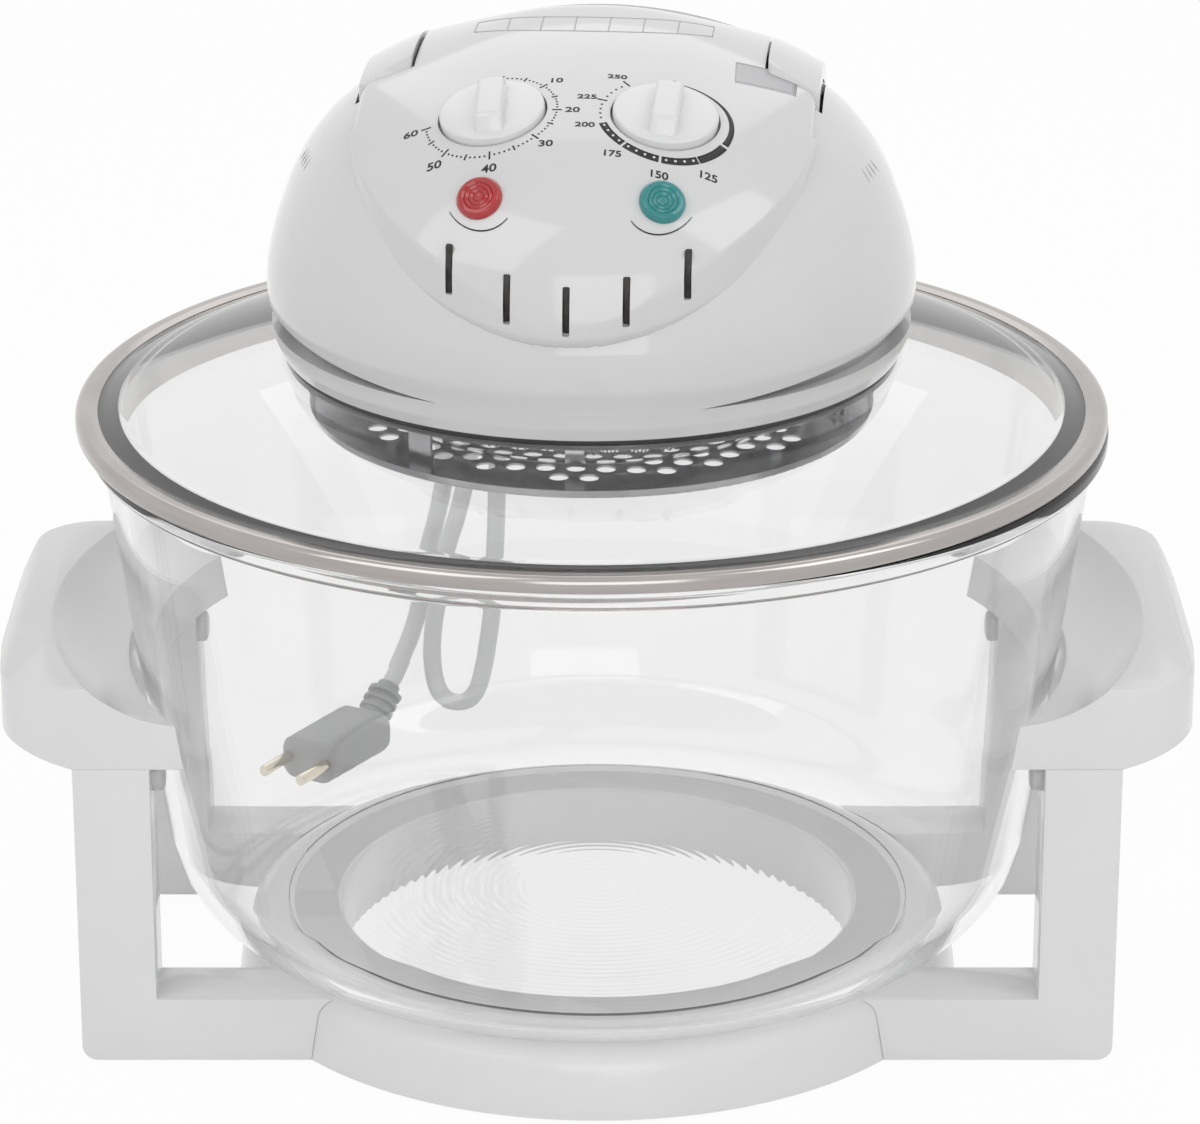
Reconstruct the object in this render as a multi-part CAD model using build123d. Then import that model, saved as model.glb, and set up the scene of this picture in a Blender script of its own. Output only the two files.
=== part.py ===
from build123d import *
from math import cos, degrees, radians, sin, sqrt, tan
import os

# Halogen oven: a glass bowl on a moulded stand, under a lift-off glass lid with a heater head on it.
# Millimetres, +Z up, standing on z = 0, bowl axis on Z, controls facing -Y.

# ---- fits -------------------------------------------------------------------------------------
RUNNING_FIT = 0.05          # radial, shaft in bore
SEAM = 0.2                  # between mouldings that meet on a curve
SWING_GAP = 1.0             # round a part that turns or folds
BOWL_CLEARANCE = 3.0        # side handle to bowl

# ---- stand ------------------------------------------------------------------------------------
PAD_HEIGHT = 1.0
PAD_R = 8.0
PAD_DEPTH = 3.0
RING_FOOT_R = 120.8
RING_TOP_R = 118.0
RING_HEIGHT = 24.0
RING_INNER_R = 86.0
RING_WALL = 2.8
RING_ROUND = 9.0
RING_RIB_COUNT = 12
LEG_FRONT_Y = 77.2
LEG_DEPTH = 24.5
LEG_REACH = 1.4             # legs beyond the bowl's rim
POST_WIDTH = 24.5
BAR_HEIGHT = 22.6
POST_HEIGHT = 103.4
LEG_WALL = 2.8
LEG_CORNER = 5.0
RAIL_T = 2.8
RAIL_HEIGHT = 14.0
HANDLE_TOP_Z = 131.0
HANDLE_REACH = 21.2         # side handles beyond the legs
HANDLE_BULGE = 5.9
HANDLE_WALL = 3.0
HANDLE_EDGE = 6.0
HANDLE_CORNER = 21.0
HANDLE_SLOPE = 9.0
HANDLE_UNDER_R = 9.0
DISH_R = 40.0
DISH_INSET = 16.0           # middle of the dish inside the bowl's rim
DISH_FLOOR_Z = 118.0
BUMPER_R = 5.5
BUMPER_REACH = 4.2
BUMPER_Z = 97.0
SCREW_R = 2.0
SCREW_HEAD_R = 3.6
SCREW_HEAD_H = 2.4
SCREW_GRIP = 9.0

# ---- bowl -------------------------------------------------------------------------------------
BOWL_FLARE = 0.1358         # radius gained per millimetre of height
BOWL_WALL = 4.5
BOWL_FLOOR = 5.5
BOWL_CORNER_R = 42.0
BOWL_RIM_R = 166.0
BOWL_FLANGE = 3.47          # reach of the rim beyond the wall
BOWL_RIM_DEPTH = 6.5
BOWL_HEIGHT = 174.0
BOWL_RIM_ROUND = 2.0

# ---- lid --------------------------------------------------------------------------------------
LID_TURN = -4.2             # the lid stands turned on its bowl
LID_SHIFT = -1.9            # and pushed to the left within its play
BAND_OVERHANG = 1.5         # reach of the band beyond the bowl's rim
BAND_HEIGHT = 5.4
BAND_SHEET = 0.8
BAND_LIP = 12.0             # width of the band on top
SKIRT_INSET = 15.5          # from the band's edge to its skirt inside the bowl
SKIRT_DEPTH = 8.0
GLASS_EDGE = 3.0
GLASS_T = 4.0
GLASS_DOME_R = 345.0
GLASS_RISE = 19.9
GLASS_HOLE_R = 91.0
HEAD_FOOT_R = 100.0

# ---- head shells ------------------------------------------------------------------------------
SHELL = 2.6
COLLAR_TOP_R = 103.2
COLLAR_HEIGHT = 9.4
SPIGOT_R = 96.5
SPIGOT_HEIGHT = 20.5
GRIP_CUT_R = 500.0
GRIP_CUT_RISE = 9.1
DOME_CURVE = (              # radius and height above the seat on the glass
    (104.6, 21.5), (104.2, 29.0), (102.0, 39.5), (98.4, 50.0), (92.0, 64.0),
    (84.0, 74.5), (73.0, 83.0), (58.0, 90.0), (36.0, 95.0), (0.0, 97.0),
)
CROWN_OVER = 7.3            # top of the panel above the dome
CROWN_TOP_Y = 24.0
CROWN_R = 262.0
CROWN_SIDE_R = 230.0
PANEL_HALF = 73.5
PANEL_NOSE_Y = -105.5
PANEL_NOSE_RISE = 33.1
PANEL_REAR_Y = 59.0
PANEL_REAR_CORNER = 20.0
PANEL_REAR_ROUND = 36.0
PANEL_SWEEP_Y = 8.0
PANEL_NOSE_R = 54.0
PANEL_BROW_R = 78.0
PANEL_NOSE_TURN = 42.0
PANEL_BROW_TURN = 30.0
PANEL_LEDGE = 9.0           # dome rim left under the panel's edge
SLOT_WIDTH = 2.2
SLOT_PITCH = 18.2
SLOT_HEIGHT = 13.5
SLOT_RISE = 37.0
SLOT_STEP = (0.0, 2.8, 9.5)  # rise of the slots from the middle outwards

# ---- handle -----------------------------------------------------------------------------------
PIVOT_Y = 4.0
PIVOT_DROP = 23.8           # pivot below the top of the panel
KNUCKLE_R = 18.4
ARM_INNER_X = 56.5
ARM_OUTER_X = 73.0
ARM_EDGE = 3.0
GRIP_FRONT_Y = 62.0
GRIP_REAR_Y = 82.0
GRIP_CORNER = 22.0
GRIP_CROWN_R = 150.0
GRIP_BALL_RISE = 2.7        # top of the ball that shapes the handle, above the panel
SCOOP_R = 9.0
SCOOP_X = 38.0
SCOOP_DROP = 4.0            # scoop below the pivot
PIN_R = 3.0
EAR_T = 2.6

# ---- controls ---------------------------------------------------------------------------------
KNOB_X = 27.0
KNOB_Y = -52.5
WELL_R = 17.2
WELL_DEPTH = 6.5
KNOB_R = 16.5
KNOB_RISE = 1.2
BAR_WIDTH = 9.6
BAR_RISE = 4.9
SHAFT_R = 3.0
UNIT_SIZE = 28.0
UNIT_DEPTH = 22.0
UNIT_GAP = 2.0
BUSH_R = 5.0
LAMP_X = 27.9
LAMP_TURN = 45.0
LAMP_R = 7.2
LAMP_STEM_R = 5.6
LAMP_RISE = 2.2
NEON_R = 2.8
NEON_LENGTH = 12.0

# ---- motor and fans ---------------------------------------------------------------------------
MOTOR_R = 27.0
MOTOR_HEIGHT = 36.0
MOTOR_LIFT = 11.0
MOTOR_SHAFT_R = 3.0
PLATE_T = 1.5
STANDOFF_R = 4.0
COOLING_FAN_R = 30.0
FAN_R = 52.0
FAN_HEIGHT = 6.0
FAN_BLADES = 8
BLADE_T = 0.8
HUB_R = 8.0

# ---- heater -----------------------------------------------------------------------------------
CLAMP_R = 99.0
CLAMP_INNER_R = 80.0
CLAMP_TURN = 70.0
SHIELD_R = 78.0
SHIELD_DEPTH = 6.5
SHEET = 0.8
TUBE_RING_R = 66.0
TUBE_R = 4.5
TUBE_BORE_R = 3.5
FILAMENT_R = 1.6
TUBE_DROP = 18.0
TUBE_GAP_ANGLE = 26.0
GUARD_R = 92.0
GUARD_DROP = 24.9
GUARD_LIP = 3.0
GUARD_T = 0.7
GUARD_HOLE_R = 3.1
GUARD_HOLE_PITCH = 9.5
STRAP_WIDTH = 9.0
STRAP_COUNT = 3
STRAP_R = 82.0
STRAP_TURN = 235.0

# ---- wiring and mains lead --------------------------------------------------------------------
SWITCH_SIZE = (10.0, 20.0, 12.0)
SWITCH_RISE = 64.5
TERMINAL_SIZE = (30.0, 14.0, 16.0)
TERMINAL_X = 45.0
TERMINAL_Y = 44.0
LEAD_R = 1.3
CORD_R = 3.5
GLAND_R = 6.5
GLAND_FLANGE_R = 9.0
GLAND_TIP_R = 4.6
GLAND_FACE_Y = 102.8        # back of the dome at the gland
GLAND_REACH = 14.0
GLAND_RISE = 25.5
GLAND_RUN = 20.4            # straight run of the lead out of the gland
HANK = (-48.0, 196.0, 98.0)         # middle of its underside
HANK_SIZE = (38.0, 28.0, 105.0)
HANK_ROUND = 12.0
TIE_WIDTH = 4.0
TIE_T = 1.2
PLUG_REAR = (-88.3, 185.8)
PLUG_TURN = -122.0                  # heading of the plug, degrees from +X
PLUG_LENGTH = 40.0
PLUG_WIDTH = 26.0
PLUG_HEIGHT = 18.0
PLUG_PIN_R = 2.4
PLUG_PIN_LENGTH = 18.0
PLUG_PIN_PITCH = 19.0
RELIEF_LENGTH = 20.0
RELIEF_PITCH = 40.0                 # slope of the strain relief up from the plug
RELIEF_R = 7.0
RELIEF_RIBS = 4

# ---- worked out -------------------------------------------------------------------------------
BOWL_BASE_Z = RING_HEIGHT
BOWL_RIM_Z = BOWL_BASE_Z + BOWL_HEIGHT
BOWL_FOOT_R = BOWL_RIM_R - BOWL_FLANGE - BOWL_FLARE * BOWL_HEIGHT
LEG_OUTER_X = BOWL_RIM_R + LEG_REACH
HANDLE_END_X = LEG_OUTER_X + HANDLE_REACH
DISH_CENTRE_R = BOWL_RIM_R - DISH_INSET
BAND_R = BOWL_RIM_R + BAND_OVERHANG
BAND_LIP_R = BAND_R - BAND_LIP
SKIRT_R = BAND_R - SKIRT_INSET
BAND_TOP_Z = BOWL_RIM_Z + BAND_HEIGHT
GLASS_TOP_Z = BAND_TOP_Z - BAND_SHEET
HEAD_Z = GLASS_TOP_Z + GLASS_RISE
COLLAR_TOP_Z = HEAD_Z + COLLAR_HEIGHT
CLAMP_Z = HEAD_Z - GLASS_T
CROWN_TOP_Z = HEAD_Z + DOME_CURVE[-1][1] + CROWN_OVER
PANEL_NOSE_Z = HEAD_Z + PANEL_NOSE_RISE
SLOT_LOW_Z = HEAD_Z + SLOT_RISE
PIVOT_Z = CROWN_TOP_Z - PIVOT_DROP
GRIP_TOP_Z = CROWN_TOP_Z + GRIP_BALL_RISE
SCOOP_Z = PIVOT_Z - SCOOP_DROP
TUBE_Z = HEAD_Z - TUBE_DROP
GUARD_Z = HEAD_Z - GUARD_DROP
SWITCH_Z = HEAD_Z + SWITCH_RISE
GLAND_Z = HEAD_Z + GLAND_RISE
LID_POSE = Pos(LID_SHIFT, 0, 0) * Rot(0, 0, LID_TURN)


# ---- shapes used again ------------------------------------------------------------------------
def outline(*corners):
    """Closed face from (x, y) corners; a third number rounds that corner."""
    points = [corner[:2] for corner in corners]
    radii = [corner[2] if len(corner) > 2 else 0 for corner in corners]
    return make_face(FilletPolyline(*points, radius=radii, close=True))


def lathe(*corners):
    """Body turned about Z from (radius, height) corners."""
    return revolve(Plane.XZ * outline(*corners), Axis.Z)


def disc(radius, low, high):
    """Upright cylinder between two heights."""
    return Pos(0, 0, low) * Cylinder(radius, high - low, align=(Align.CENTER, Align.CENTER, Align.MIN))


def tube(outer, inner, low, high):
    """Upright ring between two heights."""
    return disc(outer, low, high) - disc(inner, low - 1, high + 1)


def block(x0, x1, y0, y1, z0, z1):
    """Box between two corners."""
    return Pos((x0 + x1) / 2, (y0 + y1) / 2, (z0 + z1) / 2) * Box(x1 - x0, y1 - y0, z1 - z0)


def cross_bar(radius, x0, x1, y, z):
    """Round bar along X."""
    return Pos((x0 + x1) / 2, y, z) * Rot(0, 90, 0) * Cylinder(radius, x1 - x0)


def span(side, inner, outer):
    """X range between two distances on the left (-1) or right (1) side."""
    return sorted((side * inner, side * outer))


def screw(length):
    """Pan-head screw, head up, its head's underside at z = 0."""
    return disc(SCREW_R, -length, 0) + disc(SCREW_HEAD_R, 0, SCREW_HEAD_H)


def save(name, *shapes):
    """Write one named sub-part."""
    solids = []
    for shape in shapes:
        solids.extend(shape.solids())
    part = solids[0] if len(solids) == 1 else Compound(children=solids)
    export_step(part, f"parts/{name}.step")
    print(f"{name}: {len(solids)} solid(s), {sum(solid.volume for solid in solids) / 1000:.1f} cm3")


os.makedirs("parts", exist_ok=True)


# ---- bowl -------------------------------------------------------------------------------------
def bowl_radius(z):
    """Outer radius of the straight bowl wall at a height."""
    return BOWL_FOOT_R + BOWL_FLARE * (z - BOWL_BASE_Z)


def bowl_envelope(gap):
    """Solid outer form of the bowl, grown by a gap."""
    low = BOWL_BASE_Z - gap
    return lathe(
        (0, low),
        (bowl_radius(low) + gap, low, BOWL_CORNER_R + gap),
        (bowl_radius(BOWL_RIM_Z) + gap, BOWL_RIM_Z),
        (0, BOWL_RIM_Z),
    )


rim_low_z = BOWL_RIM_Z - BOWL_RIM_DEPTH
bowl_floor_z = BOWL_BASE_Z + BOWL_FLOOR
glass_bowl = lathe(
    (0, BOWL_BASE_Z),
    (BOWL_FOOT_R, BOWL_BASE_Z, BOWL_CORNER_R),
    (bowl_radius(rim_low_z), rim_low_z, BOWL_RIM_ROUND),
    (BOWL_RIM_R, rim_low_z, BOWL_RIM_ROUND),
    (BOWL_RIM_R, BOWL_RIM_Z, BOWL_RIM_ROUND),
    (bowl_radius(BOWL_RIM_Z) - BOWL_WALL, BOWL_RIM_Z, BOWL_RIM_ROUND),
    (bowl_radius(bowl_floor_z) - BOWL_WALL, bowl_floor_z, BOWL_CORNER_R - BOWL_WALL),
    (0, bowl_floor_z),
)
save("glass_bowl", glass_bowl)

# ---- stand ------------------------------------------------------------------------------------
ring_outer = ((RING_FOOT_R, PAD_HEIGHT), (RING_TOP_R, RING_HEIGHT, RING_ROUND))
ring_under_z = RING_HEIGHT - RING_WALL
base_ring = lathe(
    *ring_outer,
    (RING_INNER_R, RING_HEIGHT, RING_WALL / 2),
    (RING_INNER_R, PAD_HEIGHT),
    (RING_INNER_R + RING_WALL, PAD_HEIGHT),
    (RING_INNER_R + RING_WALL, ring_under_z),
    (RING_TOP_R - RING_WALL, ring_under_z, RING_ROUND - RING_WALL),
    (RING_FOOT_R - RING_WALL, PAD_HEIGHT),
)
rib_void = tube(RING_INNER_R + RING_WALL - SEAM / 2, RING_INNER_R - 1, 0, RING_HEIGHT)
rib_bound = lathe((0, 4 * PAD_HEIGHT), (RING_FOOT_R - RING_WALL + SEAM, 4 * PAD_HEIGHT),
                  (RING_TOP_R - RING_WALL, ring_under_z + SEAM), (0, ring_under_z + SEAM))
for index in range(RING_RIB_COUNT):
    rib = block(RING_INNER_R, RING_FOOT_R, -RING_WALL / 2, RING_WALL / 2, 0, RING_HEIGHT)
    rib = (rib & rib_bound) - rib_void
    base_ring += Rot(0, 0, (index + 0.5) * 360 / RING_RIB_COUNT) * rib
save("base_ring", base_ring)

ring_envelope = lathe(
    (0, 0), (RING_FOOT_R + SEAM, 0), (RING_FOOT_R + SEAM, PAD_HEIGHT),
    (RING_TOP_R + SEAM, RING_HEIGHT + SEAM, RING_ROUND), (0, RING_HEIGHT + SEAM))
bowl_room = bowl_envelope(BOWL_CLEARANCE)
post_inner_x = LEG_OUTER_X - POST_WIDTH
leg_rear_y = LEG_FRONT_Y - LEG_DEPTH
boss_x = LEG_OUTER_X - POST_WIDTH / 2
boss_y = LEG_FRONT_Y - LEG_DEPTH / 2


def leg(side):
    """One foot bar with its post, at x > 0; side is -1 at the front and 1 at the rear."""
    y0, y1 = sorted((side * LEG_FRONT_Y, side * leg_rear_y))
    shape = block(0, LEG_OUTER_X, y0, y1, PAD_HEIGHT, BAR_HEIGHT)
    shape += block(post_inner_x, LEG_OUTER_X, y0, y1, PAD_HEIGHT, POST_HEIGHT)
    toe = shape.edges().filter_by(Axis.Y).filter_by(lambda edge: edge.center().X > LEG_OUTER_X - 1)
    shape = fillet(toe.sort_by(Axis.Z)[0], LEG_CORNER)
    shape -= block(post_inner_x + LEG_WALL, LEG_OUTER_X - LEG_WALL, y0 + LEG_WALL, y1 - LEG_WALL,
                   BAR_HEIGHT, POST_HEIGHT - LEG_WALL)
    shape -= block(0, LEG_OUTER_X - LEG_WALL - LEG_CORNER, y0 + LEG_WALL, y1 - LEG_WALL, 0,
                   BAR_HEIGHT - LEG_WALL)
    foot = Pos(boss_x, side * boss_y, 0)
    shape += foot * disc(PAD_R + LEG_WALL / 2, PAD_HEIGHT, BAR_HEIGHT - LEG_WALL)
    shape += foot * disc(SCREW_HEAD_R, BAR_HEIGHT, POST_HEIGHT - LEG_WALL)
    shape -= foot * disc(PAD_R, 0, PAD_DEPTH)
    shape -= foot * disc(SCREW_R, POST_HEIGHT - SCREW_GRIP, POST_HEIGHT + 1)
    return shape - ring_envelope - bowl_room


rail_low_z = POST_HEIGHT - RAIL_HEIGHT
rail = block(LEG_OUTER_X - RAIL_T, LEG_OUTER_X, -leg_rear_y, leg_rear_y, rail_low_z, POST_HEIGHT)
right_leg_frame = leg(-1) + leg(1) + Pos(-RAIL_T, 0, 0) * rail
save("right_leg_frame", right_leg_frame)
save("left_leg_frame", mirror(right_leg_frame, Plane.YZ))


def side_handle():
    """Hollow side handle, dished on top, on the right-hand side."""
    reach = HANDLE_END_X + HANDLE_BULGE
    plan = make_face(
        Polyline((HANDLE_END_X, LEG_FRONT_Y), (0, LEG_FRONT_Y), (0, -LEG_FRONT_Y),
                 (HANDLE_END_X, -LEG_FRONT_Y))
        + ThreePointArc((HANDLE_END_X, -LEG_FRONT_Y), (reach, 0), (HANDLE_END_X, LEG_FRONT_Y))
    )
    plan = fillet(plan.vertices().group_by(Axis.X)[-1], HANDLE_CORNER)
    upright = extrude(Pos(0, 0, POST_HEIGHT) * plan, HANDLE_TOP_Z - POST_HEIGHT)
    side = outline(
        (0, POST_HEIGHT), (LEG_OUTER_X, POST_HEIGHT), (reach, POST_HEIGHT + HANDLE_SLOPE, HANDLE_UNDER_R),
        (reach, HANDLE_TOP_Z, HANDLE_EDGE), (0, HANDLE_TOP_Z),
    )
    shape = upright & extrude(Plane.XZ * side, LEG_FRONT_Y + 1, both=True)
    dish = revolve(Plane.XZ * Pos(DISH_CENTRE_R, DISH_FLOOR_Z + DISH_R) * Circle(DISH_R), Axis.Z)
    pocket_x = HANDLE_END_X - 2 * HANDLE_WALL
    pocket_y = LEG_FRONT_Y - 2 * HANDLE_WALL
    pocket = block(LEG_OUTER_X + LEG_WALL, pocket_x, -pocket_y, pocket_y,
                   POST_HEIGHT - 1, HANDLE_TOP_Z - 2 * HANDLE_EDGE - HANDLE_WALL)
    shape = shape - dish - bowl_room - pocket
    for y in (-boss_y, boss_y):
        shape -= Pos(boss_x, y, 0) * disc(SCREW_R, POST_HEIGHT - 1, POST_HEIGHT + SCREW_GRIP)
    return shape


right_side_handle = side_handle()
save("right_side_handle", right_side_handle)
save("left_side_handle", mirror(right_side_handle, Plane.YZ))

rubber_feet = [
    Pos(side * boss_x, end * boss_y, 0) * disc(PAD_R, 0, PAD_DEPTH)
    for side in (-1, 1) for end in (-1, 1)
]
save("rubber_feet", *rubber_feet)

bumper = disc(BUMPER_R, 0, BUMPER_REACH)
bumper = fillet(bumper.edges().sort_by(Axis.Z)[-1], BUMPER_REACH / 2)
bowl_bumpers = [
    Pos(side * post_inner_x, end * boss_y, BUMPER_Z) * Rot(0, -side * 90, 0) * bumper
    for side in (-1, 1) for end in (-1, 1)
]
save("bowl_bumpers", *bowl_bumpers)

handle_screws = [
    Pos(side * boss_x, end * boss_y, POST_HEIGHT) * (disc(SCREW_R, -SCREW_GRIP, SCREW_GRIP))
    for side in (-1, 1) for end in (-1, 1)
]
save("handle_screws", *handle_screws)

# ---- lid glass and band -----------------------------------------------------------------------
band_inner_r = BAND_R - BAND_SHEET
seal_z = BOWL_RIM_Z + BAND_SHEET
glass_low_z = GLASS_TOP_Z - GLASS_EDGE
lid_rim_band = lathe(
    (SKIRT_R - BAND_SHEET, BOWL_RIM_Z - SKIRT_DEPTH),
    (SKIRT_R, BOWL_RIM_Z - SKIRT_DEPTH),
    (SKIRT_R, BOWL_RIM_Z),
    (BAND_R, BOWL_RIM_Z),
    (BAND_R, BAND_TOP_Z, BAND_SHEET),
    (BAND_LIP_R, BAND_TOP_Z),
    (BAND_LIP_R, GLASS_TOP_Z),
    (band_inner_r, GLASS_TOP_Z),
    (band_inner_r, seal_z),
    (SKIRT_R - BAND_SHEET, seal_z),
)
save("lid_rim_band", LID_POSE * lid_rim_band)
lid_seal = tube(band_inner_r, SKIRT_R, seal_z, glass_low_z)
save("lid_seal", LID_POSE * lid_seal)

dome_edges = (
    RadiusArc((BAND_LIP_R - 0.5, GLASS_TOP_Z), (HEAD_FOOT_R, HEAD_Z), -GLASS_DOME_R)
    + Polyline((HEAD_FOOT_R, HEAD_Z), (GLASS_HOLE_R, HEAD_Z), (GLASS_HOLE_R, CLAMP_Z), (CLAMP_R, CLAMP_Z))
    + RadiusArc((CLAMP_R, CLAMP_Z), (SKIRT_R, glass_low_z), GLASS_DOME_R)
    + Polyline((SKIRT_R, glass_low_z), (band_inner_r, glass_low_z), (band_inner_r, GLASS_TOP_Z),
               (BAND_LIP_R - 0.5, GLASS_TOP_Z))
)
lid_glass = revolve(Plane.XZ * make_face(dome_edges), Axis.Z)
save("lid_glass", LID_POSE * lid_glass)

# ---- collar and upper housing -----------------------------------------------------------------
spigot_top_z = HEAD_Z + SPIGOT_HEIGHT
floor_top_z = HEAD_Z + SHELL
shaft_hole_r = MOTOR_SHAFT_R + SWING_GAP
head_collar = lathe(
    (shaft_hole_r, HEAD_Z),
    (HEAD_FOOT_R, HEAD_Z),
    (HEAD_FOOT_R + 2.2, HEAD_Z + 4, 4),
    (COLLAR_TOP_R, COLLAR_TOP_Z),
    (SPIGOT_R, COLLAR_TOP_Z, 2),
    (SPIGOT_R, spigot_top_z),
    (SPIGOT_R - SHELL, spigot_top_z),
    (SPIGOT_R - SHELL, floor_top_z),
    (shaft_hole_r, floor_top_z),
)

dome_profile = ((COLLAR_TOP_R, COLLAR_TOP_Z), *[(radius, HEAD_Z + rise) for radius, rise in DOME_CURVE])


def dome(inset):
    """Solid dome of the upper housing, its surface moved inwards by an inset."""
    points = [(COLLAR_TOP_R - inset, COLLAR_TOP_Z)]
    for before, at, after in zip(dome_profile, dome_profile[1:], dome_profile[2:]):
        along = Vector(after[0] - before[0], after[1] - before[1]).normalized()
        points.append((at[0] - along.Y * inset, at[1] + along.X * inset))
    points.append((0, dome_profile[-1][1] - inset))
    lines = Curve() + [ThreePointArc(*points[start:start + 3]) for start in range(0, len(points) - 2, 2)]
    lines += Polyline(points[-1], (0, COLLAR_TOP_Z), points[0])
    return revolve(Plane.XZ * make_face(lines), Axis.Z)


# ---- control panel ----------------------------------------------------------------------------
def panel_plan(inset):
    """U-shaped plan of the control panel, its round end to the front."""
    half = PANEL_HALF - inset
    nose_y = PANEL_NOSE_Y + PANEL_HALF
    rear_y = PANEL_REAR_Y - inset
    corner = PANEL_REAR_CORNER
    lines = (
        ThreePointArc((-half, nose_y), (0, nose_y - half), (half, nose_y))
        + FilletPolyline((half, nose_y), (half, rear_y), (-half, rear_y), (-half, nose_y), radius=corner)
    )
    return make_face(lines)


def panel_body(inset):
    """Solid form of the control panel from the collar up, moved inwards by an inset."""
    top_z = CROWN_TOP_Z - inset
    axis_z = CROWN_TOP_Z - CROWN_SIDE_R
    crown_r = CROWN_R - inset
    rear_r = PANEL_REAR_ROUND - inset
    front_y = 2 * PANEL_NOSE_Y
    front_sink = crown_r - sqrt(crown_r**2 - (CROWN_TOP_Y - front_y)**2)
    crown = make_face(
        RadiusArc((front_y, top_z - front_sink), (CROWN_TOP_Y, top_z), crown_r)
        + RadiusArc((CROWN_TOP_Y, top_z), (CROWN_TOP_Y + rear_r, top_z - rear_r), rear_r)
        + Polyline((CROWN_TOP_Y + rear_r, top_z - rear_r), (CROWN_TOP_Y + rear_r, axis_z), (front_y, axis_z),
                   (front_y, top_z - front_sink))
    )
    crown = revolve(Plane.YZ * crown, Axis((0, 0, axis_z), (0, 1, 0)))
    nose_x = PANEL_SWEEP_Y - PANEL_NOSE_Y - inset
    nose_r = PANEL_NOSE_R - inset
    brow_r = PANEL_BROW_R - inset
    nose = CenterArc((nose_x - nose_r, PANEL_NOSE_Z), nose_r, 0, PANEL_NOSE_TURN)
    turn = radians(PANEL_NOSE_TURN)
    brow_centre = (nose @ 1) - Vector(cos(turn), sin(turn)) * brow_r
    brow = CenterArc(tuple(brow_centre)[:2], brow_r, PANEL_NOSE_TURN, PANEL_BROW_TURN)
    slope = brow % 1
    peak = (brow @ 1) + slope * ((brow @ 1).X / -slope.X)
    sweep_lines = nose + brow + Polyline(
        tuple(brow @ 1)[:2], (0, peak.Y), (0, COLLAR_TOP_Z), (nose_x, COLLAR_TOP_Z), (nose_x, PANEL_NOSE_Z))
    sweep_body = Pos(0, PANEL_SWEEP_Y, 0) * revolve(Plane.XZ * make_face(sweep_lines), Axis.Z)
    prism = extrude(Pos(0, 0, PANEL_NOSE_Z + inset) * panel_plan(inset), CROWN_TOP_Z - PANEL_NOSE_Z)
    return prism & crown & sweep_body


def panel_top(x, y):
    """Point on the panel's crown above (x, y), with the direction square to the surface there."""
    axis_z = CROWN_TOP_Z - CROWN_SIDE_R
    centre_z = CROWN_TOP_Z - CROWN_R
    ridge_z = centre_z + sqrt(CROWN_R**2 - (y - CROWN_TOP_Y)**2)
    reach = ridge_z - axis_z
    z = axis_z + sqrt(reach**2 - x**2)
    ridge_slope = (y - CROWN_TOP_Y) / (ridge_z - centre_z)
    return Vector(x, y, z), Vector(x / (z - axis_z), ridge_slope * reach / (z - axis_z), 1).normalized()


def brow_point(x, turn):
    """Point on the panel's brow at a side distance and a turn from level, with its direction."""
    start = radians(PANEL_NOSE_TURN)
    centre_r = PANEL_SWEEP_Y - PANEL_NOSE_Y - PANEL_NOSE_R + (PANEL_NOSE_R - PANEL_BROW_R) * cos(start)
    centre_z = PANEL_NOSE_Z + (PANEL_NOSE_R - PANEL_BROW_R) * sin(start)
    radius = centre_r + PANEL_BROW_R * cos(radians(turn))
    y = -sqrt(radius**2 - x**2)
    place = Vector(x, PANEL_SWEEP_Y + y, centre_z + PANEL_BROW_R * sin(radians(turn)))
    across = cos(radians(turn)) / radius
    return place, Vector(x * across, y * across, sin(radians(turn)))


def knob_plane(side):
    """Plane on the panel at one knob, its X axis level."""
    place, up = panel_top(side * KNOB_X, KNOB_Y)
    return Plane(place, x_dir=Vector(0, 1, 0).cross(up), z_dir=up)


def lamp_plane(side):
    """Plane on the panel's brow at one lamp."""
    place, up = brow_point(side * LAMP_X, LAMP_TURN)
    return Plane(place, x_dir=Vector(0, 0, 1).cross(up) * -1, z_dir=up)


dome_solid = dome(0)
panel_solid = panel_body(0)
panel_void = panel_body(SHELL)
pivot_span = ARM_OUTER_X + SWING_GAP
notch_r = KNUCKLE_R + SWING_GAP
notch_x = ARM_INNER_X - SWING_GAP
notches = []
for side in (-1, 1):
    hollow = block(*span(side, notch_x, PANEL_HALF + 1), PIVOT_Y, 2 * PANEL_REAR_Y,
                   COLLAR_TOP_Z, CROWN_TOP_Z + 1)
    notches.append(hollow - dome(-SEAM))
    notches.append(cross_bar(notch_r, *span(side, notch_x, pivot_span), PIVOT_Y, PIVOT_Z))
slots = []
for index in range(-2, 3):
    low_z = SLOT_LOW_Z + SLOT_STEP[abs(index)]
    x = index * SLOT_PITCH
    slots.append(block(x - SLOT_WIDTH / 2, x + SLOT_WIDTH / 2, 1.1 * PANEL_NOSE_Y, 0.5 * PANEL_NOSE_Y,
                       low_z, low_z + SLOT_HEIGHT))

panel_hollow = panel_void
for side in (-1, 1):
    panel_hollow -= knob_plane(side) * disc(WELL_R + SHELL, -WELL_DEPTH - SHELL, 2 * SHELL)
control_panel = panel_solid - panel_hollow - dome_solid
for side in (-1, 1):
    control_panel -= knob_plane(side) * disc(WELL_R, -WELL_DEPTH, 2 * SHELL)
    control_panel -= knob_plane(side) * disc(BUSH_R + SEAM, -2 * WELL_DEPTH, 0)
    control_panel -= lamp_plane(side) * disc(LAMP_STEM_R + SEAM, -3 * SHELL, SHELL)
for cut in notches + slots:
    control_panel -= cut
save("control_panel", LID_POSE * control_panel)

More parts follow.
